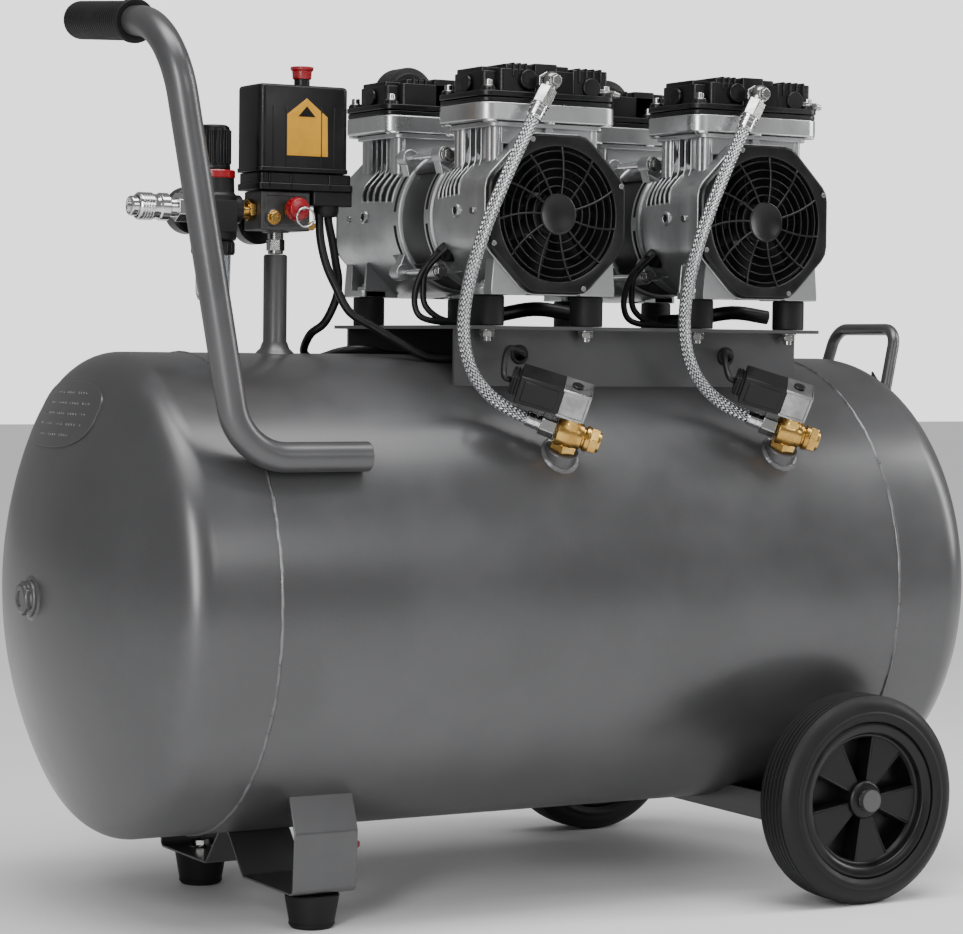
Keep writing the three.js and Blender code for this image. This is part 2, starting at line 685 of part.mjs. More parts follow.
function grille() {
  const y0 = PUMP_BACK + GAP;
  const outline = polygon((OCTAGON - 2) / 2 / Math.cos(22.5 * RAD), 8, 22.5);
  const pitch = 360 / GRILLE_SPOKES;
  const inner = GRILLE_HUB_R + 1;
  const corner = (r, a) => [r * Math.cos(a * RAD), r * Math.sin(a * RAD)];
  const holes = Array.from({ length: GRILLE_SPOKES }, (_, i) => {
    const a0 = i * pitch;
    const a1 = a0 + pitch;
    return [
      corner(inner, a0 + 4), corner(GRILLE_OPEN_R, a0 + GRILLE_SWIRL + 1.3),
      corner(GRILLE_OPEN_R, a0 + GRILLE_SWIRL + pitch / 2), corner(GRILLE_OPEN_R, a1 + GRILLE_SWIRL - 1.3),
      corner(inner, a1 - 4),
    ];
  });
  return prismY(outline, y0, y0 + GRILLE_THICK, holes);
}

function head(withCanister) {
  const z0 = NECK_TOP + GAP;
  const z1 = z0 + HEAD_PLATE;
  const z2 = NECK_TOP + HEAD_PLATE + HEAD_COVER;
  const plate = prismZ(cutCorners(-HEAD_HALF_X, HEAD_HALF_X, HEAD_Y0, HEAD_Y1, 13), z0, z1);
  const flange = prismZ(cutCorners(-HEAD_HALF_X, HEAD_HALF_X, HEAD_Y0, HEAD_Y1, 13), z1 - 1, z1 + 9);
  const cover = prismZ(cutCorners(-58, 60, HEAD_Y0 + 6, HEAD_Y1 - 5, 8), z1 + 8, z2);
  const chamber = bar(vec(0, CYLINDER_Y - 8, z0 - 5), vec(0, CYLINDER_Y - 8, z0 + 10), 24, 16);
  const parts = [plate, flange, cover];
  if (withCanister) {
    parts.push(bar(vec(-28, HEAD_Y0 + 4, z2 - 13), vec(-28, HEAD_Y1 - 8, z2 - 13), CANISTER_R, 18));
  }
  return join(...parts).subtract(chamber);
}

function stator() {
  const outer = [[ROTOR_R + 0.8, -CORE_HALF], [STATOR_R, -CORE_HALF], [STATOR_R, CORE_HALF]];
  return turned([...outer, [ROTOR_R + 0.8, CORE_HALF], outer[0]], "y", 24);
}

// Motor core, shaft and the two cooling fans: they turn together.
function rotor() {
  const parts = [turned([[0, -20], [ROTOR_R, -20], [ROTOR_R, 20], [0, 20]], "y", 16)];
  parts.push(bar(vec(0, -PUMP_BACK + 4, 0), vec(0, PUMP_BACK - 4, 0), SHAFT_R, 12));
  for (const side of [-1, 1]) {
    parts.push(bar(vec(0, side * 110, 0), vec(0, side * 128, 0), 16, 12));
    for (let i = 0; i < FAN_BLADES; i++) {
      const blade = block(12, FAN_R, -8, 8, -0.9, 0.9).rotate([side * 32, 0, 0]);
      parts.push(blade.translate([0, side * 119, 0]).rotate([0, (i * 360) / FAN_BLADES, 0]));
    }
  }
  return join(...parts);
}

// ---------------------------------------------------------------- hoses and check valves
const HOSE_START = vec(-0.527, -0.13, -0.84).normalize(); // out of the head
const HOSE_FINISH = vec(-0.815, 0.455, 0.34).normalize(); // out of the check valve
const VALVE_ACROSS = vec(0.84, -0.46, -0.287); // towards the brass cap

function valveCentre(i) {
  return fromAxis(VALVE_X[i], VALVE_LEAN, TANK_R).addScaledVector(VALVE_UP, VALVE_RISE);
}

function hosePort(i) {
  return vec(PUMP_X[i] + HOSE_PORT_DX, -HEAD_Y1 - HOSE_PORT_OUT, SHAFT_Z + NECK_TOP + HEAD_PLATE + 18);
}

function hose(i) {
  const port = hosePort(i);
  const valve = valveCentre(i);
  const from = (base, way, distance) => base.clone().addScaledVector(way, distance);
  const p0 = from(port, HOSE_START, 38);
  const p3 = from(valve, HOSE_FINISH, 34);
  const p1 = from(p0, HOSE_START, HOSE_DROP);
  const p2 = from(p3, HOSE_FINISH, HOSE_LIFT);
  const line = rod(curveRun(new THREE.CubicBezierCurve3(p0, p1, p2, p3), 18), HOSE_R, 8);
  const wall = vec(port.x, -HEAD_Y1 - GAP, port.z);
  return join(
    line,
    bar(wall, port, 6, 12),
    bar(from(port, HOSE_START, -9), from(port, HOSE_START, 9), 8, 10),
    bar(from(port, HOSE_START, 8), from(port, HOSE_START, 27), 9, 6),
    bar(from(port, HOSE_START, 26), from(port, HOSE_START, 40), 6.8, 10),
    bar(from(valve, HOSE_FINISH, 13.2), from(valve, HOSE_FINISH, 26), 9.6, 6),
    bar(from(valve, HOSE_FINISH, 24), from(valve, HOSE_FINISH, 37), 6.8, 10),
  );
}

// Check valve with its unloading solenoid, screwed into the boss on the tank.
function checkValve(i) {
  const middle = valveCentre(i);
  const up = VALVE_UP;
  const across = VALVE_ACROSS.clone().projectOnPlane(up).normalize();
  const third = new THREE.Vector3().crossVectors(up, across);
  const frame = new THREE.Matrix4().makeBasis(across, third, up).setPosition(middle);
  const place = (solid) => solid.transform(frame.elements);
  const along = (x0, x1, r, sides) => bar(vec(x0, 0, 0), vec(x1, 0, 0), r, sides);
  const stem = bar(vec(0, 0, -VALVE_RISE - 8), vec(0, 0, 0), 8.4 - GAP, 16);
  const collar = bar(vec(0, 0, -VALVE_RISE + 7 + GAP), vec(0, 0, 0), 11, 8);
  const neck = bar(vec(0, 0, 0), vec(0, 0, 20), 6, 12);
  const yoke = block(-15, 9, -12.5, 12.5, 18, 44);
  const coil = block(-51, -14, -12.5, 12.5, 17, 45);
  const solids = [
    stem, collar, neck, yoke, coil,
    along(-8, 6, 12.5, 16), along(5, 12, 11, 16), along(11, 13.5, 9, 16), along(13, 19, 11, 16), along(18, 28, 11.5, 6),
  ];
  return place(join(...solids));
}

// ---------------------------------------------------------------- switch, manifold, regulator
function riserPipe() {
  const profile = [
    [RISER_R - 3, TANK_TOP - 4], [16, TANK_TOP - 4], [16, TANK_TOP + 2], [11, TANK_TOP + 8], [RISER_R, TANK_TOP + 9],
    [RISER_R, RISER_TOP], [RISER_R - 3, RISER_TOP], [RISER_R - 3, TANK_TOP - 4],
  ];
  return turned(profile, "z", 20).translate([RISER_X, 0, 0]).subtract(TANK_CUT);
}

function manifold() {
  const body = block(MANIFOLD_X0, MANIFOLD_X1, -MANIFOLD_HALF, MANIFOLD_HALF, MANIFOLD_Z0, MANIFOLD_Z1 - GAP);
  const nipple = bar(vec(RISER_X, 0, RISER_TOP + GAP), vec(RISER_X, 0, MANIFOLD_Z0 + 1), 6.5, 14);
  const nut = bar(vec(RISER_X, 0, RISER_TOP + 3), vec(RISER_X, 0, RISER_TOP + 13), 10, 6);
  const bore = bar(vec(RISER_X, 0, RISER_TOP - 5), vec(RISER_X, 0, MANIFOLD_Z0 + 20), 4, 12);
  const front = vec(SAFETY_X, -MANIFOLD_HALF - 5, SAFETY_Z);
  const safetyPort = bar(front, vec(SAFETY_X, -MANIFOLD_HALF + 8, SAFETY_Z), 5 + GAP, 12);
  const airPort = bar(vec(MANIFOLD_X0 - 5, 0, AIR_Z), vec(MANIFOLD_X0 + 9, 0, AIR_Z), 6.2 + GAP, 12);
  return cut(join(body, nipple, nut), bore, safetyPort, airPort);
}

function switchBase() {
  const z0 = MANIFOLD_Z1;
  const z1 = SWITCH_BASE_TOP - GAP;
  const tray = prismZ(cutCorners(SWITCH_X0, SWITCH_X1, -SWITCH_HALF, SWITCH_HALF, 4), z0, z1);
  const terminals = block(MANIFOLD_X1 + 1.5, SWITCH_X1 + 1, -19, 13, z0 - 12, z0 + 1);
  const gland = bar(vec(SWITCH_X1 - 19, -8, z0 - 21), vec(SWITCH_X1 - 19, -8, z0 - 11), 11, 16);
  const inlet = bar(vec(SWITCH_X1 - 10, 6, z0 - 17), vec(SWITCH_X1 - 10, 6, z0 - 11), 7, 12);
  return join(tray, terminals, gland, inlet);
}

function switchCover() {
  const z0 = SWITCH_BASE_TOP;
  const x0 = SWITCH_X0 + 1.2;
  const x1 = SWITCH_X1 - 6.5;
  const y = SWITCH_HALF - 1;
  const outer = prismZ(cutCorners(x0, x1, -y, y, 5), z0, SWITCH_TOP);
  const w = SWITCH_WALL;
  const hollow = prismZ(cutCorners(x0 + w, x1 - w, -y + w, y - w, 4), z0 - 5, SWITCH_TOP - w);
  const hole = bar(vec(SWITCH_KNOB_X, SWITCH_KNOB_Y, z0), vec(SWITCH_KNOB_X, SWITCH_KNOB_Y, SWITCH_TOP + 5), 4.5, 16);
  return cut(outer, hollow, hole);
}

// The knob is drawn up, its running position, and pushes down to stop.
function switchKnob() {
  const at = (z) => vec(SWITCH_KNOB_X, SWITCH_KNOB_Y, z);
  const stem = bar(at(SWITCH_TOP - 16), at(SWITCH_TOP + 7), 4.5 - TURNING_GAP, 16);
  const cap = bar(at(SWITCH_TOP + 6), at(SWITCH_TOP + 16), 10, 20);
  return stem.add(cap);
}

function safetyValve() {
  const at = (y) => vec(SAFETY_X, y, SAFETY_Z);
  const face = -MANIFOLD_HALF;
  const parts = [
    bar(at(face + 7), at(face - 2), 5, 12),
    bar(at(face - GAP), at(face - 5), 8, 6),
    bar(at(face - 4), at(face - 10), 7, 16),
    bar(at(face - 9), at(face - 20), 10, 20),
  ];
  const bore = bar(at(face - 12), at(face - 25), 1.6 + TURNING_GAP, 12);
  return join(...parts).subtract(bore);
}

// The pull ring of the safety valve, with the pin that lifts the valve.
function safetyRing() {
  const y = -MANIFOLD_HALF - 20;
  const pin = bar(vec(SAFETY_X, y + 7, SAFETY_Z), vec(SAFETY_X, y - 6, SAFETY_Z), 1.6, 10);
  const loop = new THREE.TorusGeometry(8, 1.1, 6, 18);
  loop.rotateX(Math.PI / 2);
  loop.translate(SAFETY_X + 2, y - 4.5, SAFETY_Z - 7);
  return pin.add(toSolid(loop));
}

function regulatorBody() {
  const at = (z) => vec(REG_X, 0, z);
  const side = (x) => vec(x, 0, AIR_Z);
  const parts = [
    bar(at(REG_Z0), at(REG_Z1 - 14), REG_R, 16),
    bar(at(REG_Z1 - 15), at(REG_Z1), REG_R - 2.5, 16),
    bar(at(REG_Z1 - 1), at(REG_Z1 + 6), REG_R - 4, 16),
    bar(at(REG_Z1 + 5), at(REG_Z1 + 28), 6, 14),
    bar(side(REG_X), side(REG_X - REG_R - 6), 12, 8),
    bar(side(REG_X), side(REG_X + REG_R + 3), 12, 8),
    bar(side(REG_X), side(MANIFOLD_X0 + 8), 6.2, 12),
    bar(side(MANIFOLD_X0 - GAP), side(MANIFOLD_X0 - 6), 9, 6),
  ];
  const port = bar(side(REG_X - REG_R - 12), side(REG_X - REG_R + 6), 7.5 + GAP, 14);
  return join(...parts).subtract(port);
}

function regulatorKnob() {
  const z0 = REG_Z1 + 6 + GAP;
  const profile = [
    [6 + TURNING_GAP, z0], [13, z0], [13, z0 + 3], [15, z0 + 4], [15, z0 + 33], [13, z0 + 37.5], [0, z0 + 37.5],
    [0, z0 + 23], [6 + TURNING_GAP, z0 + 23], [6 + TURNING_GAP, z0],
  ];
  return turned(profile, "z", 20).translate([REG_X, 0, 0]);
}

function filterBowl() {
  const top = REG_Z0 - GAP;
  const profile = [
    [0, BOWL_BOTTOM], [4, BOWL_BOTTOM], [4, BOWL_BOTTOM + 6], [11, BOWL_BOTTOM + 7], [15, BOWL_BOTTOM + 14],
    [15, top - 12], [17.5, top - 11], [17.5, top], [13, top], [13, BOWL_BOTTOM + 14], [10, BOWL_BOTTOM + 10],
    [0, BOWL_BOTTOM + 10],
  ];
  return turned(profile, "z", 20).translate([REG_X, 0, 0]);
}

function couplerBody() {
  const mouth = REG_X - REG_R - 6;
  const at = (x) => vec(x, 0, AIR_Z);
  const parts = [
    bar(at(mouth + 11), at(mouth - 2), 7.5, 14),
    bar(at(mouth - GAP), at(mouth - 9), 12, 6),
    bar(at(mouth - 8), at(COUPLER_END), 8.4, 18),
  ];
  const socket = bar(at(COUPLER_END - 5), at(mouth - 12), 5.5, 16);
  return join(...parts).subtract(socket);
}

// Locking sleeve: it slides back towards the hexagon to release the plug.
function couplerSleeve() {
  const profile = [
    [8.4 + TURNING_GAP, -338], [10.5, -338], [11.6, -336], [11.6, -326], [10.6, -324], [10.6, -320], [11.6, -318],
    [11.6, -310.5], [8.4 + TURNING_GAP, -310.5], [8.4 + TURNING_GAP, -338],
  ];
  const shift = COUPLER_END + 344.5;
  return turned(profile, "x", 20).translate([shift, 0, AIR_Z]);
}

// ---------------------------------------------------------------- drain cock
function drainValve() {
  const at = (z) => vec(DRAIN_X, 0, z);
  const parts = [
    bar(at(TANK_BOTTOM + 4), at(TANK_BOTTOM - 10), 8 - GAP, 16),
    bar(at(TANK_BOTTOM - GAP - 1.5), at(TANK_BOTTOM - 11), 11.5, 6),
    bar(at(TANK_BOTTOM - 10), at(TANK_BOTTOM - 28), 9, 16),
    bar(at(TANK_BOTTOM - 27), at(TANK_BOTTOM - 38), 5, 12),
  ];
  const stemBore = bar(vec(DRAIN_X, -15, TANK_BOTTOM - 20), vec(DRAIN_X, 2, TANK_BOTTOM - 20), 3 + TURNING_GAP, 12);
  return join(...parts).subtract(stemBore);
}

function drainTap() {
  const z = TANK_BOTTOM - 20;
  const stem = bar(vec(DRAIN_X, 1, z), vec(DRAIN_X, -13, z), 3, 12);
  const lever = prismY([[-6, z - 6], [28, z - 5], [30, z], [28, z + 5], [-6, z + 6]], -14, -11.5);
  return stem.add(lever.translate([DRAIN_X, 0, 0]));
}

// ---------------------------------------------------------------- motor leads
// Height of a lead that lies on the tank at a distance y from its axis.
function onTank(y) {
  return TANK_Z + Math.sqrt((TANK_R + LEAD_R + 0.8) ** 2 - y ** 2);
}

function motorLead(points) {
  const curve = new THREE.CatmullRomCurve3(points, false, "centripetal");
  return rod(curveRun(curve, 26), LEAD_R, 8);
}

function frontLead() {
  const x = SWITCH_X1 - 26;
  const z = MANIFOLD_Z1 - 21 - GAP;
  return motorLead([
    vec(x, -10, z), vec(x, -10, z - 3), vec(x + 1, -11, z - 20), vec(x + 5, -14, z - 40), vec(x + 12, -18, z - 58),
    vec(x + 22, -24, z - 79), vec(PLATE_X0 - 41, -32, z - 91), vec(PLATE_X0 - 24, -40, 479),
    vec(PLATE_X0 + 2, -48, onTank(48)), vec(PLATE_X0 + 27, -54, onTank(54)), vec(PLATE_X0 + 60, -56, onTank(56)),
  ]);
}

function rearLead() {
  const x = SWITCH_X1 - 14;
  const z = MANIFOLD_Z1 - 21 - GAP;
  return motorLead([
    vec(x, -3, z), vec(x, -3, z - 3), vec(x + 6, 1, z - 20), vec(x + 11, 4, z - 38), vec(x + 15, 7, z - 52), vec(x + 15, 11, z - 68),
    vec(x + 8, 18, z - 88), vec(x - 1, 28, 482), vec(x + 2, 46, onTank(46) + 2), vec(x + 20, 60, onTank(60)),
    vec(x + 42, 55, onTank(55) + 5), vec(PLATE_X0 - 8, 47, onTank(47) + 5), vec(PLATE_X0 + 20, 46, onTank(46)),
    vec(PLATE_X0 + 60, 46, onTank(46)),
  ]);
}

// ---------------------------------------------------------------- the assembly
addPart("tank_shell", tankShell(), "tank");
addPart("left_tank_end", leftTankEnd(), "tank");
addPart("right_tank_end", tankEnd(), "tank");
addPart("inspection_plug", inspectionPlug(), "tank");
addPart("push_handle", pushHandle(), "tank");
addPart("handle_grip", handleGrip(), "grip");
addPart("carry_handle", carryHandle(), "tank");
addPart("foot_bracket", footBracket(), "tank");
addPart("front_foot", rubberFoot(-FOOT_Y), "rubber");
addPart("rear_foot", rubberFoot(FOOT_Y), "rubber");
addPart("axle_bracket", axleBracket(), "tank");
addPart("front_wheel_rim", wheelRim(-WHEEL_Y), "black");
addPart("front_tyre", tyre(-WHEEL_Y), "rubber");
addPart("rear_wheel_rim", wheelRim(WHEEL_Y).mirror([0, 1, 0]).translate([0, 2 * WHEEL_Y, 0]), "black");
addPart("rear_tyre", tyre(WHEEL_Y), "rubber");
addPart("motor_platform", motorPlatform(), "tank");
addPart("riser_pipe", riserPipe(), "tank");
addPart("manifold", manifold(), "black");
addPart("switch_base", switchBase(), "black");
addPart("switch_cover", switchCover(), "black");
addPart("switch_knob", switchKnob(), "red");
addPart("safety_valve", safetyValve(), "red");
addPart("safety_ring", safetyRing(), "red");
addPart("regulator_body", regulatorBody(), "black");
addPart("regulator_knob", regulatorKnob(), "black");
addPart("filter_bowl", filterBowl(), "clear");
addPart("coupler_body", couplerBody(), "chrome");
addPart("coupler_sleeve", couplerSleeve(), "chrome");
addPart("drain_valve", drainValve(), "brass");
addPart("drain_tap", drainTap(), "red");
addPart("front_lead", frontLead(), "black");
addPart("rear_lead", rearLead(), "black");

const HALF_CASE = crankcase();
const HALF_GRILLE = grille();
const FRONT_HEAD = head(false).mirror([0, 1, 0]);
const REAR_HEAD = head(true);
const STATOR = stator();
const ROTOR = rotor();
PUMP_X.forEach((cx, i) => {
  const name = `pump_${i + 1}`;
  const at = (solid) => solid.translate([cx, 0, SHAFT_Z]);
  addPart(`${name}_front_case`, at(HALF_CASE.mirror([0, 1, 0])), "cast");
  addPart(`${name}_rear_case`, at(HALF_CASE), "cast");
  addPart(`${name}_stator`, at(STATOR), "black");
  addPart(`${name}_rotor`, at(ROTOR), "steel");
  addPart(`${name}_front_head`, at(FRONT_HEAD), "black");
  addPart(`${name}_rear_head`, at(REAR_HEAD), "black");
  addPart(`${name}_front_grille`, at(HALF_GRILLE.mirror([0, 1, 0])), "black");
  addPart(`${name}_rear_grille`, at(HALF_GRILLE), "black");
  addPart(`${name}_hose`, hose(i), "steel");
  addPart(`${name}_check_valve`, checkValve(i), "brass");
  const corners = [[-1, -1], [1, -1], [-1, 1], [1, 1]];
  corners.forEach(([sx, sy], k) => {
    addPart(`${name}_mount_${k + 1}`, rubberMount(cx + sx * MOUNT_DX, sy * MOUNT_Y), "rubber");
  });
});

// The origin is the middle of the footprint, on the floor.
const bounds = new THREE.Box3().setFromObject(group);
group.position.set(-(bounds.min.x + bounds.max.x) / 2, -(bounds.min.y + bounds.max.y) / 2, -bounds.min.z);
group.updateMatrixWorld(true);

export default group;
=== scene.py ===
"""Wheeled air compressor: builds the detailed surfaces of every part around its fixed frame."""

import math

import bmesh
import bpy
from mathutils import Matrix, Vector


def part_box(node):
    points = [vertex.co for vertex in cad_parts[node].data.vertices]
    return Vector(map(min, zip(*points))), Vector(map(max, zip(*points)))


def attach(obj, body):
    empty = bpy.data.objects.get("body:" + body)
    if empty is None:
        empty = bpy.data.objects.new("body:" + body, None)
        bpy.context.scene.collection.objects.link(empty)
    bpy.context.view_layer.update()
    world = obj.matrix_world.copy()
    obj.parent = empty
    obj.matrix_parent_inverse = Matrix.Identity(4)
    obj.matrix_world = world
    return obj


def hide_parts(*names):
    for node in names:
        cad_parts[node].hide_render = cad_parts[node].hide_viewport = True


bl_info = {
    "name": "Air compressor",
    "version": (1, 0, 0),
    "blender": (4, 5, 0),
    "location": "View3D > Sidebar > Compressor",
    "description": "Builds a wheeled air compressor piece by piece",
    "category": "Add Mesh",
}

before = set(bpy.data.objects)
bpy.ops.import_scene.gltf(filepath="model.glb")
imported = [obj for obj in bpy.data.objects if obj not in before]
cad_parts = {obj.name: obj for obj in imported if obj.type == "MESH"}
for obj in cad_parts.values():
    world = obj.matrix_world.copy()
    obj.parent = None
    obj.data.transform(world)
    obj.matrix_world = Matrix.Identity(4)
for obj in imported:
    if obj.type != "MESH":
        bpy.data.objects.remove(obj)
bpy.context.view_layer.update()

MM = 0.001
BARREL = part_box("tank_shell")
MID_X = (BARREL[0].x + BARREL[1].x) / 2
TANK_R = (BARREL[1].y - BARREL[0].y) / 2 / MM
TANK_Z = (BARREL[1].z + BARREL[0].z) / 2 / MM
SEAM_X = 298
SKIRT = 52.5
CROWN_R = 370
KNUCKLE_R = 33
WALL = 3
KNUCKLE_X = SEAM_X + SKIRT
CROWN_X = KNUCKLE_X - math.sqrt((CROWN_R - KNUCKLE_R) ** 2 - (TANK_R - KNUCKLE_R) ** 2)
TANK_HALF = CROWN_X + CROWN_R
UNITS = (1, 2)
ENDS = ("front", "rear")


def middle(node):
    low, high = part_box(node)
    return (low + high) / 2


def mm_x(point):
    """How far along X a point of the frame is from the middle of the tank, in millimetres."""
    return (point.x - MID_X) / MM


PUMP_X = {i: mm_x(middle(f"pump_{i}_stator")) for i in UNITS}
SHAFT_Z = middle("pump_1_stator").z / MM
PLATE_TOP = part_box("motor_platform")[1].z / MM


# ------------------------------------------------------------------ user settings
class CompressorSettings(bpy.types.PropertyGroup):
    """Sizes and colours that a user may change."""

    tank_paint: bpy.props.FloatVectorProperty(
        name="Tank paint", description="Colour of the satin paint", subtype="COLOR",
        size=3, min=0, max=1, default=(0.088, 0.088, 0.091),
    )
    plastic: bpy.props.FloatVectorProperty(
        name="Plastic", description="Colour of the moulded covers", subtype="COLOR",
        size=3, min=0, max=1, default=(0.0042, 0.0042, 0.0046),
    )
    knob_red: bpy.props.FloatVectorProperty(
        name="Red parts", description="Colour of the knob and the pull ring", subtype="COLOR",
        size=3, min=0, max=1, default=(0.30, 0.004, 0.010),
    )
    label_yellow: bpy.props.FloatVectorProperty(
        name="Label", description="Colour of the plain label", subtype="COLOR",
        size=3, min=0, max=1, default=(0.60, 0.29, 0.008),
    )
    weld_bead: bpy.props.FloatProperty(
        name="Weld bead", description="Half width of the seam welds", subtype="DISTANCE",
        unit="LENGTH", min=0.0005, max=0.006, default=0.0019,
    )
    braid_turns: bpy.props.IntProperty(
        name="Braid strands", description="Strands of wire round each hose", min=6, max=40, default=12,
    )
    louvres: bpy.props.IntProperty(
        name="Louvres", description="Cooling slots on each side of a crankcase", min=2, max=8, default=5,
    )
    grille_rings: bpy.props.IntProperty(
        name="Grille rings", description="Rings of each fan grille", min=2, max=8, default=5,
    )


def settings():
    return bpy.context.scene.compressor


# ------------------------------------------------------------------ placing
def at(x, y, z):
    """A point given in millimetres from the middle of the tank, its axis and the floor."""
    return Vector((MID_X + x * MM, y * MM, z * MM))


def placed(x=0, y=0, z=0, flip_y=False):
    """Carries a shape drawn in millimetres to its place."""
    size = Matrix.Diagonal((MM, -MM if flip_y else MM, MM, 1))
    return Matrix.Translation(at(x, y, z)) @ size


def pump_place(i, front):
    """The place of a pump; its front half is the rear one mirrored."""
    return placed(PUMP_X[i], 0, SHAFT_Z, flip_y=front)


# ------------------------------------------------------------------ shape helpers, in millimetres
AXES = {"X": Vector((1, 0, 0)), "Y": Vector((0, 1, 0)), "Z": Vector((0, 0, 1))}
OUTWARD = {"X": Vector((0, 0, 1)), "Y": Vector((1, 0, 0)), "Z": Vector((1, 0, 0))}


def only_verts(geom):
    """The vertices among what an operator made."""
    return [v for v in geom if isinstance(v, bmesh.types.BMVert)]


def chain(bm, points):
    """Vertices at the points, and the edges that join them one after another."""
    verts = [bm.verts.new(p) for p in points]
    return verts, [bm.edges.new(pair) for pair in zip(verts, verts[1:])]


def pointing(way):
    """The turn that points +Z along a direction."""
    return way.to_track_quat("Z", "Y").to_matrix().to_4x4()


def lathe(bm, profile, axis="Z", steps=48, centre=(0, 0, 0), closed=False):
    """Turns a profile of (radius, height) about an axis."""
    way, out, c = AXES[axis], OUTWARD[axis], Vector(centre)
    verts, edges = chain(bm, [c + out * r + way * h for r, h in profile])
    if closed:
        edges.append(bm.edges.new((verts[-1], verts[0])))
    before = set(bm.verts) - set(verts)
    bmesh.ops.spin(
        bm, geom=verts + edges, cent=c, axis=way, angle=2 * math.pi, steps=steps,
        use_merge=True, use_duplicate=False, dvec=(0, 0, 0),
    )
    fresh = [v for v in bm.verts if v not in before]
    bmesh.ops.remove_doubles(bm, verts=fresh, dist=1e-4)


def rod(bm, start, end, radius, end_radius=None, sides=24):
    """A round bar, cone or, with few sides, a hexagon between two points."""
    a, b = Vector(start), Vector(end)
    bmesh.ops.create_cone(
        bm, cap_ends=True, cap_tris=False, segments=sides, radius1=radius,
        radius2=radius if end_radius is None else end_radius, depth=(b - a).length,
        matrix=Matrix.Translation((a + b) / 2) @ pointing(b - a),
    )


def block(bm, low, high, turn=None):
    """A box between two corners, turned about its own middle if asked."""
    a, b = Vector(low), Vector(high)
    size = Matrix.Diagonal((*(b - a), 1))
    return bmesh.ops.create_cube(
        bm, size=1, matrix=Matrix.Translation((a + b) / 2) @ (turn or Matrix.Identity(4)) @ size
    )["verts"]


def ball(bm, centre, radius):
    place = Matrix.Translation(centre)
    bmesh.ops.create_uvsphere(bm, u_segments=24, v_segments=12, radius=radius, matrix=place)


def prism(bm, outline, reach):
    """A flat outline drawn out along a vector."""
    face = bm.faces.new([bm.verts.new(p) for p in outline])
    drawn = bmesh.ops.extrude_face_region(bm, geom=[face])["geom"]
    bmesh.ops.translate(bm, verts=only_verts(drawn), vec=reach)


def plate_z(bm, x0, x1, y0, y1, z0, z1, corner):
    """A block with rounded upright corners."""
    outline = []
    for cx, cy, first in ((x1 - corner, y1 - corner, 0), (x0 + corner, y1 - corner, 90),
                          (x0 + corner, y0 + corner, 180), (x1 - corner, y0 + corner, 270)):
        for k in range(5):
            a = math.radians(first + 22.5 * k)
            outline.append((cx + corner * math.cos(a), cy + corner * math.sin(a), z0))
    prism(bm, outline, (0, 0, z1 - z0))


def squared(radius, degrees, squareness, flats):
    """How far out a shape between a circle and an octagon reaches at an angle."""
    off = (degrees + 22.5) % 45 - 22.5
    wide = min(flats / math.cos(math.radians(off)), flats / math.cos(math.radians(22.5)) - 1.5)
    return radius + (wide - radius) * squareness


def loop(bm, radius, y, sides=64, squareness=0.0, flats=0.0):
    """A ring of points about Y; squareness 1 makes it an octagon of that half width."""
    made = bmesh.ops.create_circle(
        bm, segments=sides, radius=radius,
        matrix=Matrix.Translation((0, y, 0)) @ Matrix.Rotation(math.pi / 2, 4, "X"),
    )["verts"]
    for v in made:
        r = squared(radius, math.degrees(math.atan2(v.co.z, v.co.x)), squareness, flats)
        v.co.x *= r / radius
        v.co.z *= r / radius
    return made


def loft(bm, rows, close=False, caps=False):
    """Skins rings of points one after another, then joins the last to the first or caps both."""
    def ring_edges(row):
        inside = set(row)
        return [e for e in bm.edges if e.verts[0] in inside and e.verts[1] in inside]
    around = [ring_edges(row) for row in rows]
    pairs = list(zip(around, around[1:]))
    if close:
        pairs.append((around[-1], around[0]))
    for a, b in pairs:
        bmesh.ops.bridge_loops(bm, edges=a + b)
    if caps:
        bm.faces.new(rows[0])
        bm.faces.new(rows[-1])


def bent(corners, bends, steps=10):
    """Points along straight runs joined by round bends."""
    corners = [Vector(c) for c in corners]
    points = [corners[0]]
    for before, corner, after, radius in zip(corners, corners[1:], corners[2:], bends):
        a, b = (corner - before).normalized(), (after - corner).normalized()
        turn = a.angle(b)
        start = corner - a * radius * math.tan(turn / 2)
        inward = (b - a * math.cos(turn)).normalized()
        for k in range(steps + 1):
            t = turn * k / steps
            points.append(start + a * radius * math.sin(t) + inward * radius * (1 - math.cos(t)))
    return points + [corners[-1]]


def curve_points(control, steps):
    """Evenly stepped points of a cubic Bezier."""
    p0, p1, p2, p3 = (Vector(c) for c in control)
    made = []
    for k in range(steps + 1):
        t = k / steps
        s = 1 - t
        made.append(p0 * s**3 + p1 * 3 * s * s * t + p2 * 3 * s * t * t + p3 * t**3)
    return made


def smooth_points(points, per_span=6):
    """Points of a smooth curve through all the given ones."""
    p = [Vector(q) for q in points]
    p = [p[0] * 2 - p[1]] + p + [p[-1] * 2 - p[-2]]
    made = []
    for a, b, c, d in zip(p, p[1:], p[2:], p[3:]):
        for k in range(per_span):
            t = k / per_span
            made.append((b * 2 + (c - a) * t + (a * 2 - b * 5 + c * 4 - d) * t * t
                         + (b * 3 - a - c * 3 + d) * t**3) / 2)
    return made + [p[-2]]


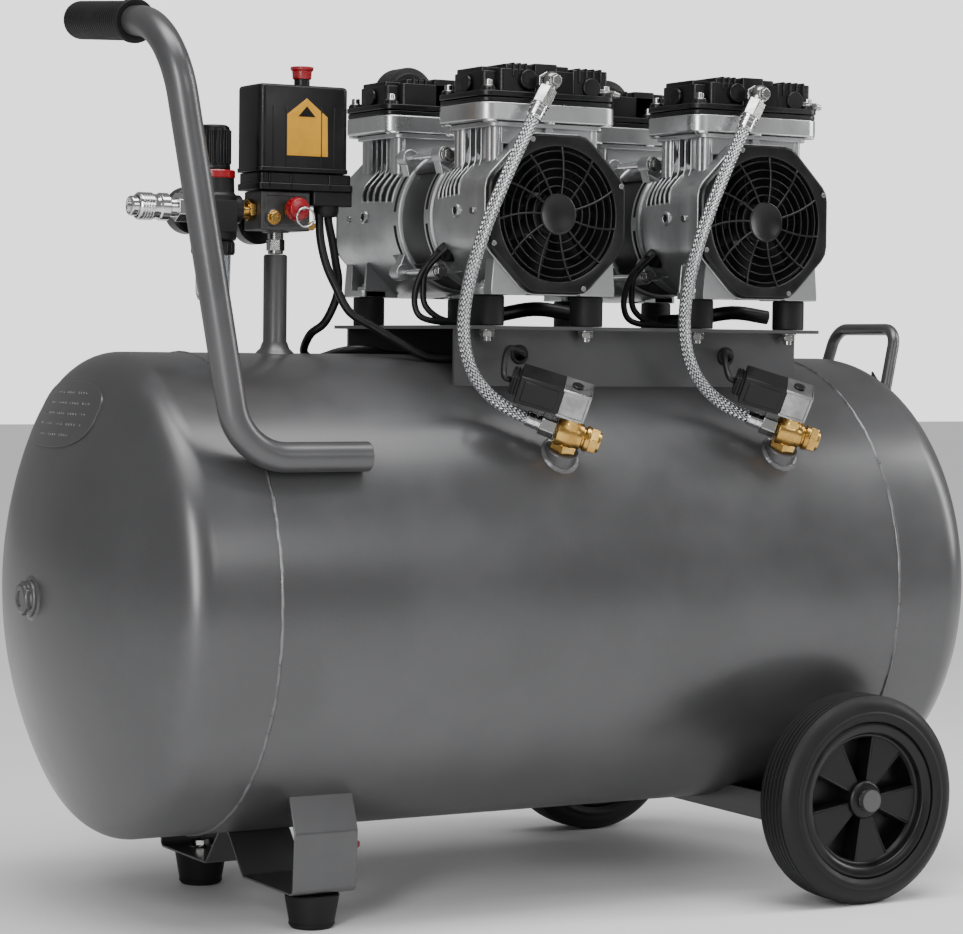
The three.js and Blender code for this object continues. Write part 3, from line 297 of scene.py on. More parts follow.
def sweep(bm, points, radius, sides=20, caps=True):
    """A tube along points, with a UV map: U once round, V in millimetres along."""
    points = [Vector(p) for p in points]
    ways = [(b - a).normalized() for a, b in zip(points, points[1:])]
    ways = [ways[0]] + [(a + b).normalized() for a, b in zip(ways, ways[1:])] + [ways[-1]]
    turn = ways[0].to_track_quat("Z", "Y")
    rows, where, along = [], {}, 0.0
    for i, (p, way) in enumerate(zip(points, ways)):
        if i:
            turn = ways[i - 1].rotation_difference(way) @ turn
            along += (p - points[i - 1]).length
        r = radius(i / (len(points) - 1)) if callable(radius) else radius
        row = bmesh.ops.create_circle(
            bm, segments=sides, radius=r, matrix=Matrix.Translation(p) @ turn.to_matrix().to_4x4()
        )["verts"]
        rows.append(row)
        where.update({v: (k, along) for k, v in enumerate(row)})
    uv = bm.loops.layers.uv.verify()
    for a, b in zip(rows, rows[1:]):
        edges = [e for row in (a, b) for e in {e for v in row for e in v.link_edges}
                 if e.verts[0] in where and e.verts[1] in where]
        rim = [e for e in set(edges) if abs(where[e.verts[0]][1] - where[e.verts[1]][1]) < 1e-9]
        made = bmesh.ops.bridge_loops(bm, edges=rim)["faces"]
        for face in made:
            ks = [where[corner.vert][0] for corner in face.loops]
            wrap = max(ks) - min(ks) > sides / 2
            for corner in face.loops:
                k, v = where[corner.vert]
                corner[uv].uv = ((k + (sides if wrap and k < sides / 2 else 0)) / sides, v / 100)
    if caps:
        bm.faces.new(rows[0])
        bm.faces.new(rows[-1])


def arc_block(bm, inner, outer, a0, a1, y0, y1, steps=8):
    """Part of a ring about Y, between two radii and two angles in degrees from +X towards +Z."""
    def corner(r, y):
        a = math.radians(a0)
        return bm.verts.new((r * math.cos(a), y, r * math.sin(a)))
    face = bm.faces.new([corner(inner, y0), corner(outer, y0), corner(outer, y1), corner(inner, y1)])
    bmesh.ops.spin(
        bm, geom=list(face.verts) + list(face.edges) + [face], cent=(0, 0, 0), axis=(0, -1, 0),
        angle=math.radians(a1 - a0), steps=steps, use_merge=False, use_duplicate=False, dvec=(0, 0, 0),
    )


def hugging_strip(bm, reach, depth, lift, a0, a1, y0, y1, steps=14):
    """A strip round Y between two angles that keeps to a surface given by reach(y, angle)."""
    rows = []
    for k in range(steps + 1):
        degrees = a0 + (a1 - a0) * k / steps
        a = math.radians(degrees)
        row = bmesh.ops.create_circle(bm, segments=4, radius=1)["verts"]
        grow = lift * math.sin(math.pi * min(max(k / steps, 0.02), 0.98)) ** 0.3
        for v, (out, y) in zip(row, ((-depth, y0), (grow, y0), (grow, y1), (-depth, y1))):
            r = reach(y, degrees) + out
            v.co = Vector((r * math.cos(a), y, r * math.sin(a)))
        rows.append(row)
    loft(bm, rows, caps=True)


def nut(bm, point, way, flats, height, washer=0.0):
    """A hexagon nut or bolt head standing on a point, over a washer."""
    p, w = Vector(point), Vector(way).normalized()
    if washer:
        rod(bm, p, p + w * 1.2, washer, sides=28)
        p = p + w * 1.2
    rod(bm, p, p + w * height, flats / 2 / math.cos(math.pi / 6), sides=6)


# ------------------------------------------------------------------ materials
def effect_group(name, inputs, outputs):
    group = bpy.data.node_groups.new(name, "ShaderNodeTree")
    for label, kind, value in inputs:
        socket = group.interface.new_socket(name=label, in_out="INPUT", socket_type=kind)
        socket.default_value = value
    for label, kind in outputs:
        group.interface.new_socket(name=label, in_out="OUTPUT", socket_type=kind)
    return group, group.nodes.new("NodeGroupInput"), group.nodes.new("NodeGroupOutput")


def feed(tree, socket, value):
    """Sets a socket to a number, or links another socket to it."""
    if isinstance(value, (int, float)):
        socket.default_value = value
    else:
        tree.links.new(value, socket)


def math_node(tree, kind, a, b=None):
    node = tree.nodes.new("ShaderNodeMath")
    node.operation = kind
    for socket, value in zip(node.inputs, (a, b)):
        if value is not None:
            feed(tree, socket, value)
    return node.outputs[0]


def noise_node(tree, vector, scale, detail=3.0, rough=0.5):
    node = tree.nodes.new("ShaderNodeTexNoise")
    node.inputs["Detail"].default_value = detail
    node.inputs["Roughness"].default_value = rough
    tree.links.new(vector, node.inputs["Vector"])
    feed(tree, node.inputs["Scale"], scale)
    return node.outputs["Fac"]


def grain_group():
    """Fine grain and broad patches, for paint, castings and moulded parts."""
    group, given, out = effect_group(
        "Grain and patches",
        (("Vector", "NodeSocketVector", (0, 0, 0)), ("Grain Scale", "NodeSocketFloat", 900.0),
         ("Patch Scale", "NodeSocketFloat", 14.0), ("Low", "NodeSocketFloat", 0.4),
         ("High", "NodeSocketFloat", 0.65)),
        (("Grain", "NodeSocketFloat"), ("Patch", "NodeSocketFloat"), ("Speck", "NodeSocketFloat")),
    )
    grain = noise_node(group, given.outputs["Vector"], given.outputs["Grain Scale"], 2.0)
    broad = noise_node(group, given.outputs["Vector"], given.outputs["Patch Scale"], 5.0, 0.6)
    spread = group.nodes.new("ShaderNodeMapRange")
    group.links.new(broad, spread.inputs["Value"])
    group.links.new(given.outputs["Low"], spread.inputs["From Min"])
    group.links.new(given.outputs["High"], spread.inputs["From Max"])
    speck = math_node(group, "GREATER_THAN", grain, 0.68)
    group.links.new(grain, out.inputs["Grain"])
    group.links.new(spread.outputs["Result"], out.inputs["Patch"])
    group.links.new(speck, out.inputs["Speck"])
    return group


def braid_group():
    """Crossing strands of wire, from a UV map that runs round and along a hose."""
    group, given, out = effect_group(
        "Wire braid",
        (("UV", "NodeSocketVector", (0, 0, 0)), ("Strands", "NodeSocketFloat", 20.0),
         ("Pitch", "NodeSocketFloat", 45.0)),
        (("Height", "NodeSocketFloat"), ("Gap", "NodeSocketFloat")),
    )
    parts = group.nodes.new("ShaderNodeSeparateXYZ")
    group.links.new(given.outputs["UV"], parts.inputs[0])

    def calc(kind, a, b=None):
        return math_node(group, kind, a, b)

    def wave(value):
        return calc("ABSOLUTE", calc("SINE", calc("MULTIPLY", value, math.pi)))

    around = calc("MULTIPLY", parts.outputs["X"], given.outputs["Strands"])
    along = calc("MULTIPLY", parts.outputs["Y"], given.outputs["Pitch"])
    left = calc("ADD", around, along)
    right = calc("SUBTRACT", around, along)
    over = calc("PINGPONG", calc("ADD", calc("FLOOR", left), calc("FLOOR", right)), 1.0)
    raised = calc("MULTIPLY", over, 0.6)
    a, b = wave(left), wave(right)
    high = calc("MULTIPLY", a, calc("ADD", raised, 0.4))
    low = calc("MULTIPLY", b, calc("SUBTRACT", 1.0, raised))
    height = calc("MAXIMUM", high, low)
    gap = calc("LESS_THAN", calc("MINIMUM", a, b), 0.34)
    group.links.new(height, out.inputs["Height"])
    group.links.new(gap, out.inputs["Gap"])
    return group


GROUPS = {}


def shared_group(name, maker):
    if name not in GROUPS:
        GROUPS[name] = maker()
    return GROUPS[name]


def mix_colour(tree, factor, a, b):
    """A colour between two colours or sockets."""
    node = tree.nodes.new("ShaderNodeMix")
    node.data_type = "RGBA"
    tree.links.new(factor, node.inputs["Factor"])
    for socket, value in ((node.inputs["A"], a), (node.inputs["B"], b)):
        if isinstance(value, bpy.types.NodeSocket):
            tree.links.new(value, socket)
        else:
            socket.default_value = (*value, 1)
    return node.outputs["Result"]


def add_bump(tree, shader, height, strength, distance):
    bump = tree.nodes.new("ShaderNodeBump")
    bump.inputs["Strength"].default_value = strength
    bump.inputs["Distance"].default_value = distance
    tree.links.new(height, bump.inputs["Height"])
    tree.links.new(bump.outputs["Normal"], shader.inputs["Normal"])


def start_look(name):
    made = bpy.data.materials.new(name)
    made.use_nodes = True
    tree = made.node_tree
    shader = next(n for n in tree.nodes if n.type == "BSDF_PRINCIPLED")
    return made, tree, shader


def surface(name, base, other, rough=0.45, spread=0.08, metallic=0.0, grain=900.0, patch=14.0,
            bump=0.15, depth=0.0002, coat=0.0, speck=None, specular=0.5):
    """A finish whose colour drifts between two shades, over a fine grain."""
    made, tree, shader = start_look(name)
    shader.inputs["Specular IOR Level"].default_value = specular
    place = tree.nodes.new("ShaderNodeTexCoord")
    detail = tree.nodes.new("ShaderNodeGroup")
    detail.node_tree = shared_group("grain", grain_group)
    detail.inputs["Grain Scale"].default_value = grain
    detail.inputs["Patch Scale"].default_value = patch
    tree.links.new(place.outputs["Object"], detail.inputs["Vector"])
    colour = mix_colour(tree, detail.outputs["Patch"], base, other)
    if speck:
        colour = mix_colour(tree, detail.outputs["Speck"], colour, speck)
    tree.links.new(colour, shader.inputs["Base Color"])
    ranged = tree.nodes.new("ShaderNodeMapRange")
    ranged.inputs["To Min"].default_value = max(rough - spread, 0.02)
    ranged.inputs["To Max"].default_value = min(rough + spread, 1)
    tree.links.new(detail.outputs["Patch"], ranged.inputs["Value"])
    tree.links.new(ranged.outputs["Result"], shader.inputs["Roughness"])
    shader.inputs["Metallic"].default_value = metallic
    shader.inputs["Coat Weight"].default_value = coat
    shader.inputs["Coat Roughness"].default_value = 0.2
    add_bump(tree, shader, detail.outputs["Grain"], bump, depth)
    return made


def braid_look():
    made, tree, shader = start_look("Stainless braid")
    uv = tree.nodes.new("ShaderNodeUVMap")
    braid = tree.nodes.new("ShaderNodeGroup")
    braid.node_tree = shared_group("braid", braid_group)
    braid.inputs["Strands"].default_value = settings().braid_turns
    braid.inputs["Pitch"].default_value = 24
    tree.links.new(uv.outputs["UV"], braid.inputs["UV"])
    colour = mix_colour(tree, braid.outputs["Gap"], (0.60, 0.61, 0.62), (0.03, 0.03, 0.032))
    tree.links.new(colour, shader.inputs["Base Color"])
    shader.inputs["Metallic"].default_value = 0.9
    shader.inputs["Roughness"].default_value = 0.3
    add_bump(tree, shader, braid.outputs["Height"], 0.9, 0.0009)
    return made


def laminated_look():
    made, tree, shader = start_look("Laminated core")
    place = tree.nodes.new("ShaderNodeTexCoord")
    lines = tree.nodes.new("ShaderNodeTexWave")
    lines.bands_direction = "Y"
    lines.inputs["Scale"].default_value = 240
    lines.inputs["Distortion"].default_value = 0.6
    tree.links.new(place.outputs["Object"], lines.inputs["Vector"])
    colour = mix_colour(tree, lines.outputs["Fac"], (0.008, 0.008, 0.009), (0.022, 0.022, 0.024))
    tree.links.new(colour, shader.inputs["Base Color"])
    shader.inputs["Metallic"].default_value = 0.3
    shader.inputs["Roughness"].default_value = 0.42
    add_bump(tree, shader, lines.outputs["Fac"], 0.4, 0.0002)
    return made


def clear_look():
    made, tree, shader = start_look("Clear bowl")
    shader.inputs["Base Color"].default_value = (0.86, 0.9, 0.93, 1)
    shader.inputs["Transmission Weight"].default_value = 0.92
    shader.inputs["IOR"].default_value = 1.45
    place = tree.nodes.new("ShaderNodeTexCoord")
    haze = noise_node(tree, place.outputs["Object"], 60, 4)
    ranged = tree.nodes.new("ShaderNodeMapRange")
    ranged.inputs["To Min"].default_value = 0.05
    ranged.inputs["To Max"].default_value = 0.22
    tree.links.new(haze, ranged.inputs["Value"])
    tree.links.new(ranged.outputs["Result"], shader.inputs["Roughness"])
    return made


LOOKS = {}


def look(name):
    """The named finish, made the first time that it is asked for."""
    if name not in LOOKS:
        LOOKS[name] = LOOK_MAKERS[name]()
    return LOOKS[name]


def shade(colour, factor):
    return tuple(c * factor for c in colour)


def plastic_look(name, tone, rough, bump, grain):
    p = settings().plastic
    return surface(name, shade(p, tone), shade(p, tone * 1.7), rough=rough, spread=0.07,
                   grain=grain, patch=30, bump=bump, depth=0.00005, specular=0.32)


LOOK_MAKERS = {
    "paint": lambda: surface(
        "Tank paint", shade(settings().tank_paint, 0.93), shade(settings().tank_paint, 1.1),
        rough=0.36, spread=0.04, metallic=0.55, grain=1500, patch=9, bump=0.1, depth=0.00012,
        coat=0.25, speck=shade(settings().tank_paint, 1.35),
    ),
    "weld": lambda: surface(
        "Painted weld", shade(settings().tank_paint, 1.2), shade(settings().tank_paint, 1.9),
        rough=0.34, metallic=0.6, grain=420, patch=60, bump=0.5, depth=0.0006,
    ),
    "cast": lambda: surface(
        "Cast aluminium", (0.46, 0.465, 0.47), (0.36, 0.365, 0.37), rough=0.38, spread=0.06,
        metallic=0.92, grain=1300, patch=24, bump=0.3, depth=0.0001,
    ),
    "machined": lambda: surface(
        "Machined aluminium", (0.60, 0.605, 0.61), (0.50, 0.505, 0.51), rough=0.32, spread=0.05,
        metallic=0.95, grain=900, patch=30, bump=0.08, depth=0.00005,
    ),
    "zinc": lambda: surface(
        "Zinc plate", (0.44, 0.44, 0.43), (0.30, 0.30, 0.29), rough=0.24, spread=0.06,
        metallic=1.0, grain=700, patch=90, bump=0.05, depth=0.00003,
    ),
    "chrome": lambda: surface(
        "Bright plate", (0.72, 0.72, 0.73), (0.60, 0.60, 0.61), rough=0.12, spread=0.04,
        metallic=1.0, grain=300, patch=50, bump=0.02, depth=0.00003,
    ),
    "brass": lambda: surface(
        "Machined brass", (0.63, 0.40, 0.12), (0.45, 0.26, 0.07), rough=0.26, spread=0.08,
        metallic=1.0, grain=600, patch=70, bump=0.12, depth=0.0001,
    ),
    "steel": lambda: surface(
        "Plain steel", (0.40, 0.40, 0.40), (0.25, 0.25, 0.25), rough=0.33, spread=0.08,
        metallic=1.0, grain=700, patch=60, bump=0.15, depth=0.0001,
    ),
    "plastic": lambda: plastic_look("Moulded plastic", 1.0, 0.36, 0.2, 1400),
    "plastic_matt": lambda: plastic_look("Matt plastic", 0.8, 0.55, 0.35, 1000),
    # Near-black finish: painted shade on the sheets standing in the crankcase openings, and the dark print of
    # the label triangle and the gauge marks.
    "shade_and_print": lambda: plastic_look("Painted shade and dark print", 0.25, 0.8, 0.1, 500),
    "tyre": lambda: plastic_look("Tyre rubber", 0.85, 0.56, 0.4, 800),
    "rubber": lambda: plastic_look("Moulded rubber", 0.9, 0.62, 0.4, 900),
    "sheath": lambda: plastic_look("Cable sheath", 0.75, 0.42, 0.25, 1200),
    "black_metal": lambda: plastic_look("Black casting", 1.6, 0.4, 0.5, 700),
    "dark_casting": lambda: surface(
        "Dark casting", (0.085, 0.085, 0.088), (0.05, 0.05, 0.052), rough=0.42, metallic=0.6,
        grain=900, patch=50, bump=0.4, depth=0.0002,
    ),
    "red": lambda: surface(
        "Red plastic", settings().knob_red, shade(settings().knob_red, 0.75), rough=0.3,
        grain=900, patch=60, bump=0.1, depth=0.0001, coat=0.2,
    ),
    "label": lambda: surface(
        "Plain label", settings().label_yellow, shade(settings().label_yellow, 0.86), rough=0.42,
        grain=700, patch=60, bump=0.05, depth=0.00005, coat=0.2,
    ),
    "dial": lambda: surface(
        "Dial face", (0.75, 0.75, 0.73), (0.68, 0.68, 0.66), rough=0.5, grain=500, patch=40,
        bump=0.03, depth=0.00005,
    ),
    "floor": lambda: surface(
        "Pale floor", (0.90, 0.90, 0.90), (0.87, 0.87, 0.87), rough=0.6, grain=60, patch=1.2,
        bump=0.02, depth=0.0002,
    ),
    "braid": braid_look,
    "laminated": laminated_look,
    "clear": clear_look,
}


# ------------------------------------------------------------------ finishing a piece
def make(name, bm, finish, matrix=None, body="chassis", stands_for=(), bevel=0.5,
         angle=32, rounding=2):
    """Puts a shape in its place as a piece, with its finish, body and CAD nodes."""
    bmesh.ops.transform(bm, matrix=matrix or placed(), verts=bm.verts)
    bmesh.ops.recalc_face_normals(bm, faces=bm.faces)
    mesh = bpy.data.meshes.new(name)
    bm.to_mesh(mesh)
    bm.free()
    mesh.materials.append(look(finish))
    for face in mesh.polygons:
        face.use_smooth = True
    mesh.set_sharp_from_angle(angle=math.radians(angle))
    piece = bpy.data.objects.new(name, mesh)
    bpy.context.scene.collection.objects.link(piece)
    if bevel:
        soften = piece.modifiers.new("Soft edges", "BEVEL")
        soften.width = bevel * MM
        soften.segments = rounding
        soften.limit_method = "ANGLE"
        soften.angle_limit = math.radians(angle)
        soften.use_clamp_overlap = True
    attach(piece, body)
    if stands_for:
        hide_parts(*stands_for)
    return piece


def dress(node, finish):
    """Gives a CAD node that keeps its own shape a finish."""
    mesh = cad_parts[node].data
    mesh.materials.clear()
    mesh.materials.append(look(finish))


def dome(offset=0.0, steps=14):
    """(radius, x) of a dished end from its pole to its seam."""
    meet = math.asin((TANK_R - KNUCKLE_R) / (CROWN_R - KNUCKLE_R))
    crown, knuckle = CROWN_R + offset, KNUCKLE_R + offset
    points = [(0, CROWN_X + crown)]
    for k in range(1, steps + 1):
        a = meet * k / steps
        points.append((crown * math.sin(a), CROWN_X + crown * math.cos(a)))
    for k in range(1, steps + 1):
        a = meet + (math.pi / 2 - meet) * k / steps
        points.append((TANK_R - KNUCKLE_R + knuckle * math.sin(a), KNUCKLE_X + knuckle * math.cos(a)))
    return points


def dome_x(radius):
    """How far from the middle a dished end's surface is at a radius on its crown."""
    return CROWN_X + math.sqrt(CROWN_R**2 - radius**2)


class PieceOperator:
    """What every piece's operator shares."""

    bl_options = {"REGISTER", "UNDO"}

    def execute(self, context):
        self.build()
        return {"FINISHED"}


# ------------------------------------------------------------------ tank
BEAD_RIPPLES = ((0.0009, 210, 0), (0.0004, 37, 1), (0.0004, 97, 0))
DATA_PLATE_Y, DATA_PLATE_Z = 19, 415


class COMPRESSOR_OT_tank(PieceOperator, bpy.types.Operator):
    """Barrel, dished ends, seam welds, data plate and inspection plug"""

    bl_idname = "compressor.tank"
    bl_label = "Tank"

    def build(self):
        bm = bmesh.new()
        ring = [(TANK_R, -SEAM_X), (TANK_R, SEAM_X), (TANK_R - WALL, SEAM_X), (TANK_R - WALL, -SEAM_X)]
        lathe(bm, ring, "X", 160, (0, 0, TANK_Z), closed=True)
        make("barrel", bm, "paint", stands_for=["tank_shell"], bevel=0)
        for side, node in ((-1, "left_tank_end"), (1, "right_tank_end")):
            bm = bmesh.new()
            outer = dome() + [(TANK_R, SEAM_X)]
            inner = (dome(-WALL, 8) + [(TANK_R - WALL, SEAM_X)])[::-1]
            profile = [(r, side * x) for r, x in outer + inner]
            lathe(bm, profile, "X", 160, (0, 0, TANK_Z))
            make(node.replace("tank_end", "dished_end"), bm, "paint", stands_for=[node],
                 bevel=0)
            self.seam(side)
        self.plate()
        self.plug()

    def seam(self, side):
        """A rippled weld bead round one seam, beside the joggled lip of the end."""
        half = settings().weld_bead / MM
        bm = bmesh.new()
        bead = [(TANK_R - 0.6, -half), (TANK_R + 0.7, -half * 0.5), (TANK_R + 1.1, 0),
                (TANK_R + 0.7, half * 0.5), (TANK_R - 0.6, half)]
        lathe(bm, [(r, side * SEAM_X + x) for r, x in bead], "X", 420, (0, 0, TANK_Z), closed=True)
        for v in bm.verts:
            a = math.atan2(v.co.y, v.co.z - TANK_Z)
            ripple = 1 + sum(size * math.sin(a * waves + shift) for size, waves, shift in BEAD_RIPPLES)
            v.co.y *= ripple
            v.co.z = TANK_Z + (v.co.z - TANK_Z) * ripple
            v.co.x += 0.22 * math.sin(a * 61) + 0.16 * math.sin(a * 23 + 2)
        make("seam_weld_left" if side < 0 else "seam_weld_right", bm, "weld", bevel=0)

    def plate(self):
        """An oval data plate with plain raised lines, welded on the left dished end."""
        bm = bmesh.new()

        def on_dome(across, up, lift):
            y, z = DATA_PLATE_Y + across, DATA_PLATE_Z + up
            radius = math.hypot(y, z - TANK_Z)
            meet = TANK_R - KNUCKLE_R
            if radius < CROWN_R * meet / (CROWN_R - KNUCKLE_R):
                x = dome_x(radius)
            else:
                x = KNUCKLE_X + math.sqrt(KNUCKLE_R**2 - (radius - meet) ** 2)
            return Vector((-x - lift, y, z))

        def oval(half_y, half_z, lift, rings=6, sides=56, power=0.72):
            rows = []
            for k in range(1, rings + 1):
                made = bmesh.ops.create_circle(bm, segments=sides, radius=1)["verts"]
                for v in made:
                    a = math.atan2(v.co.y, v.co.x)
                    c, s = math.cos(a), math.sin(a)
                    grow = k / rings
                    y = half_y * grow * math.copysign(abs(c) ** power, c)
                    z = half_z * grow * math.copysign(abs(s) ** power, s)
                    v.co = on_dome(y, z, lift)
                rows.append(made)
            bm.faces.new(rows[0])
            loft(bm, rows)
            return rows[-1]

        rim = oval(72, 27, 1.3)
        edge = [e for e in bm.edges if e.verts[0] in set(rim) and e.verts[1] in set(rim)]
        drawn = bmesh.ops.extrude_edge_only(bm, edges=edge)["geom"]
        bmesh.ops.translate(bm, verts=only_verts(drawn), vec=(2.5, 0, 0))
        make("data_plate", bm, "paint", bevel=0.3, angle=50)
        bm = bmesh.new()
        for row, up in enumerate((-17, -8.5, 0, 8.5, 17)):
            reach = 52 if abs(up) < 10 else 40
            count = int(reach * 2 / 5)
            for k in range(count):
                if (k * 7 + row * 3) % 5 == 0:
                    continue
                p = on_dome(-reach + 5 * k, up, 1.2)
                bmesh.ops.create_uvsphere(
                    bm, u_segments=8, v_segments=5, radius=1.3,
                    matrix=Matrix.Translation(p) @ Matrix.Diagonal((0.6, 1, 1, 1)),
                )
        make("plate_studs", bm, "weld", bevel=0)

    def plug(self):
        """Hexagon plug with a sealing ring in the left dished end."""
        face = -TANK_HALF
        tip = mm_x(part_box("inspection_plug")[0])
        bm = bmesh.new()
        lathe(bm, [(0, face + 6), (19, face + 6), (19, face + 1), (16.5, face - 1), (0, face - 1)],
              "X", 48, (0, 0, TANK_Z))
        make("plug_boss", bm, "paint")
        bm = bmesh.new()
        lathe(bm, [(0, face), (15, face), (15, face - 3), (12.5, face - 4.5), (12.5, tip + 1.5),
                   (11, tip), (6.5, tip), (6, tip + 4), (0, tip + 4)], "X", 48, (0, 0, TANK_Z))
        rod(bm, (face - 3, 0, TANK_Z), (tip + 1.2, 0, TANK_Z), 14.2, sides=6)
        make("plug_head", bm, "paint", stands_for=["inspection_plug"], bevel=0.8)


# ------------------------------------------------------------------ handles
HANDLE_R = 12
HANDLE_LEAN = math.radians(55.8)
HANDLE_OUT = TANK_R + HANDLE_R + 0.3
HANDLE_SIDE = -HANDLE_OUT * math.sin(HANDLE_LEAN)
HANDLE_LOW = TANK_Z + HANDLE_OUT * math.cos(HANDLE_LEAN)
HANDLE_RUN = [(-213, HANDLE_SIDE, HANDLE_LOW), (-324.6, HANDLE_SIDE, HANDLE_LOW),
              (-384.5, HANDLE_SIDE, 717), (-386, 3, 734)]


class COMPRESSOR_OT_push_handle(PieceOperator, bpy.types.Operator):
    """Bent push handle with its rubber grip"""

    bl_idname = "compressor.push_handle"
    bl_label = "Push handle"

    def build(self):
        points = bent(HANDLE_RUN, [48, 62], 22)
        bm = bmesh.new()
        sweep(bm, points, HANDLE_R, 40)
        make("handle_tube", bm, "paint", stands_for=["push_handle"], bevel=0.8, angle=50)
        bm = bmesh.new()
        for x in (-222, -250, -285):
            ball(bm, (x, HANDLE_SIDE * 0.955, HANDLE_LOW - 6), 4.5)
        make("handle_welds", bm, "weld", bevel=0)
        top, end = Vector(HANDLE_RUN[2]), Vector(HANDLE_RUN[3])
        way = (end - top).normalized()
        mouth = top + way * ((-108 - top.y) / way.y)
        length = (end - mouth).length + 6
        radius = 15.5
        profile = [(12.4, 1), (16.2, 0), (17.4, 1.2), (17.4, 5), (16.4, 6.6), (radius, 7.4), (radius, 9)]
        step = 4.2
        k = 10.0
        while k < length - 12:
            profile += [(radius, k), (radius - 0.5, k + 0.5), (radius - 0.5, k + 1.0), (radius, k + 1.5)]
            k += step
        for a in range(0, 91, 15):
            t = math.radians(a)
            profile.append((radius - 8 + 8 * math.cos(t), length - 8 + 8 * math.sin(t)))
        profile.append((0, length))
        bm = bmesh.new()
        lathe(bm, profile, "Z", 56)
        bmesh.ops.transform(bm, matrix=Matrix.Translation(mouth) @ pointing(way), verts=bm.verts)
        make("grip", bm, "rubber", stands_for=["handle_grip"], bevel=0, angle=50)


class COMPRESSOR_OT_carry_handle(PieceOperator, bpy.types.Operator):
    """Round bar handle on the right dished end"""

    bl_idname = "compressor.carry_handle"
    bl_label = "Carry handle"

    def build(self):
        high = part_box("carry_handle")[1]
        bar_r = 5.5
        x = mm_x(high) - bar_r
        z = high.z / MM - bar_r
        half = 46
        foot = 389
        rho = math.sqrt(CROWN_R**2 - (foot - CROWN_X) ** 2)

        def surface_z(px, py):
            radius = math.sqrt(CROWN_R**2 - (px - CROWN_X) ** 2)
            return TANK_Z + math.sqrt(radius**2 - py**2)

        foot_z = TANK_Z + math.sqrt(rho**2 - (half + 6) ** 2) + 2
        run = [(foot, -half - 6, foot_z), (x, -half, z), (x, half, z), (foot, half + 6, foot_z)]
        bm = bmesh.new()
        sweep(bm, bent(run, [17, 17], 12), bar_r, 24)
        make("carry_bar", bm, "paint", stands_for=["carry_handle"], bevel=0)
        bm = bmesh.new()
        for side in (-1, 1):
            rows = []
            for k in range(9):
                px = foot - 15 + 27 * k / 8
                py = side * (half + 10)
                wide = 7.5 * min(1, math.sin(math.pi * (k + 0.6) / 9.2) * 1.6)
                made = bmesh.ops.create_circle(bm, segments=16, radius=1)["verts"]
                slope = -(px - CROWN_X) / (surface_z(px, py) - TANK_Z)
                for v in made:
                    a = math.atan2(v.co.y, v.co.x)
                    out, lift = wide * math.cos(a), 2.4 * math.sin(a)
                    v.co = Vector((px, py + out, surface_z(px, py + out) + 2.2 + lift - slope * 0.2))
                rows.append(made)
            loft(bm, rows, caps=True)
        make("carry_tabs", bm, "paint", bevel=0, angle=60)


# ------------------------------------------------------------------ feet and wheels
class COMPRESSOR_OT_feet(PieceOperator, bpy.types.Operator):
    """Bent foot strip with its two rubber feet and bolts"""

    bl_idname = "compressor.feet"
    bl_label = "Feet"

    def build(self):
        low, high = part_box("foot_bracket")
        x0 = mm_x(low)
        x1 = mm_x(high)
        mid = (x0 + x1) / 2
        shelf = 30.3
        fold_y, fold_z = 136, 81
        reach = [(-124.7, 110.5), (-fold_y, fold_z), (-133, shelf), (-37, shelf), (-8, 63), (8, 63),
                 (37, shelf), (133, shelf), (fold_y, fold_z), (124.7, 110.5)]
        run = bent([(x0, y, z) for y, z in reach], [7, 6, 7, 5, 5, 7, 6, 7], 5)
        bm = bmesh.new()
        drawn = bmesh.ops.extrude_edge_only(bm, edges=chain(bm, run)[1])["geom"]
        bmesh.ops.translate(bm, verts=only_verts(drawn), vec=(x1 - x0, 0, 0))
        bmesh.ops.recalc_face_normals(bm, faces=bm.faces)
        bmesh.ops.solidify(bm, geom=list(bm.faces), thickness=2)
        make("foot_strip", bm, "paint", stands_for=["foot_bracket"], bevel=0.7, angle=40)
        for node in ("front_foot", "rear_foot"):
            c = middle(node)
            y = c.y / MM
            where = placed(mid, y, 0)
            bm = bmesh.new()
            lathe(bm, [(0, 0), (16.5, 0), (18, 1.5), (18.6, 5), (22.1, 25), (22.4, 27), (21.4, 28), (0, 28)],
                  "Z", 64)
            lathe(bm, [(17.8, 2.2), (18.8, 2.6), (19.0, 4.2), (18.2, 4.8)], "Z", 64, closed=True)
            make(node + "_rubber", bm, "rubber", where, stands_for=[node], bevel=0)
            bm = bmesh.new()
            nut(bm, (0, 0, 32.3), (0, 0, 1), 13, 5, washer=11)
            make(node + "_bolt", bm, "zinc", where, bevel=0.6)


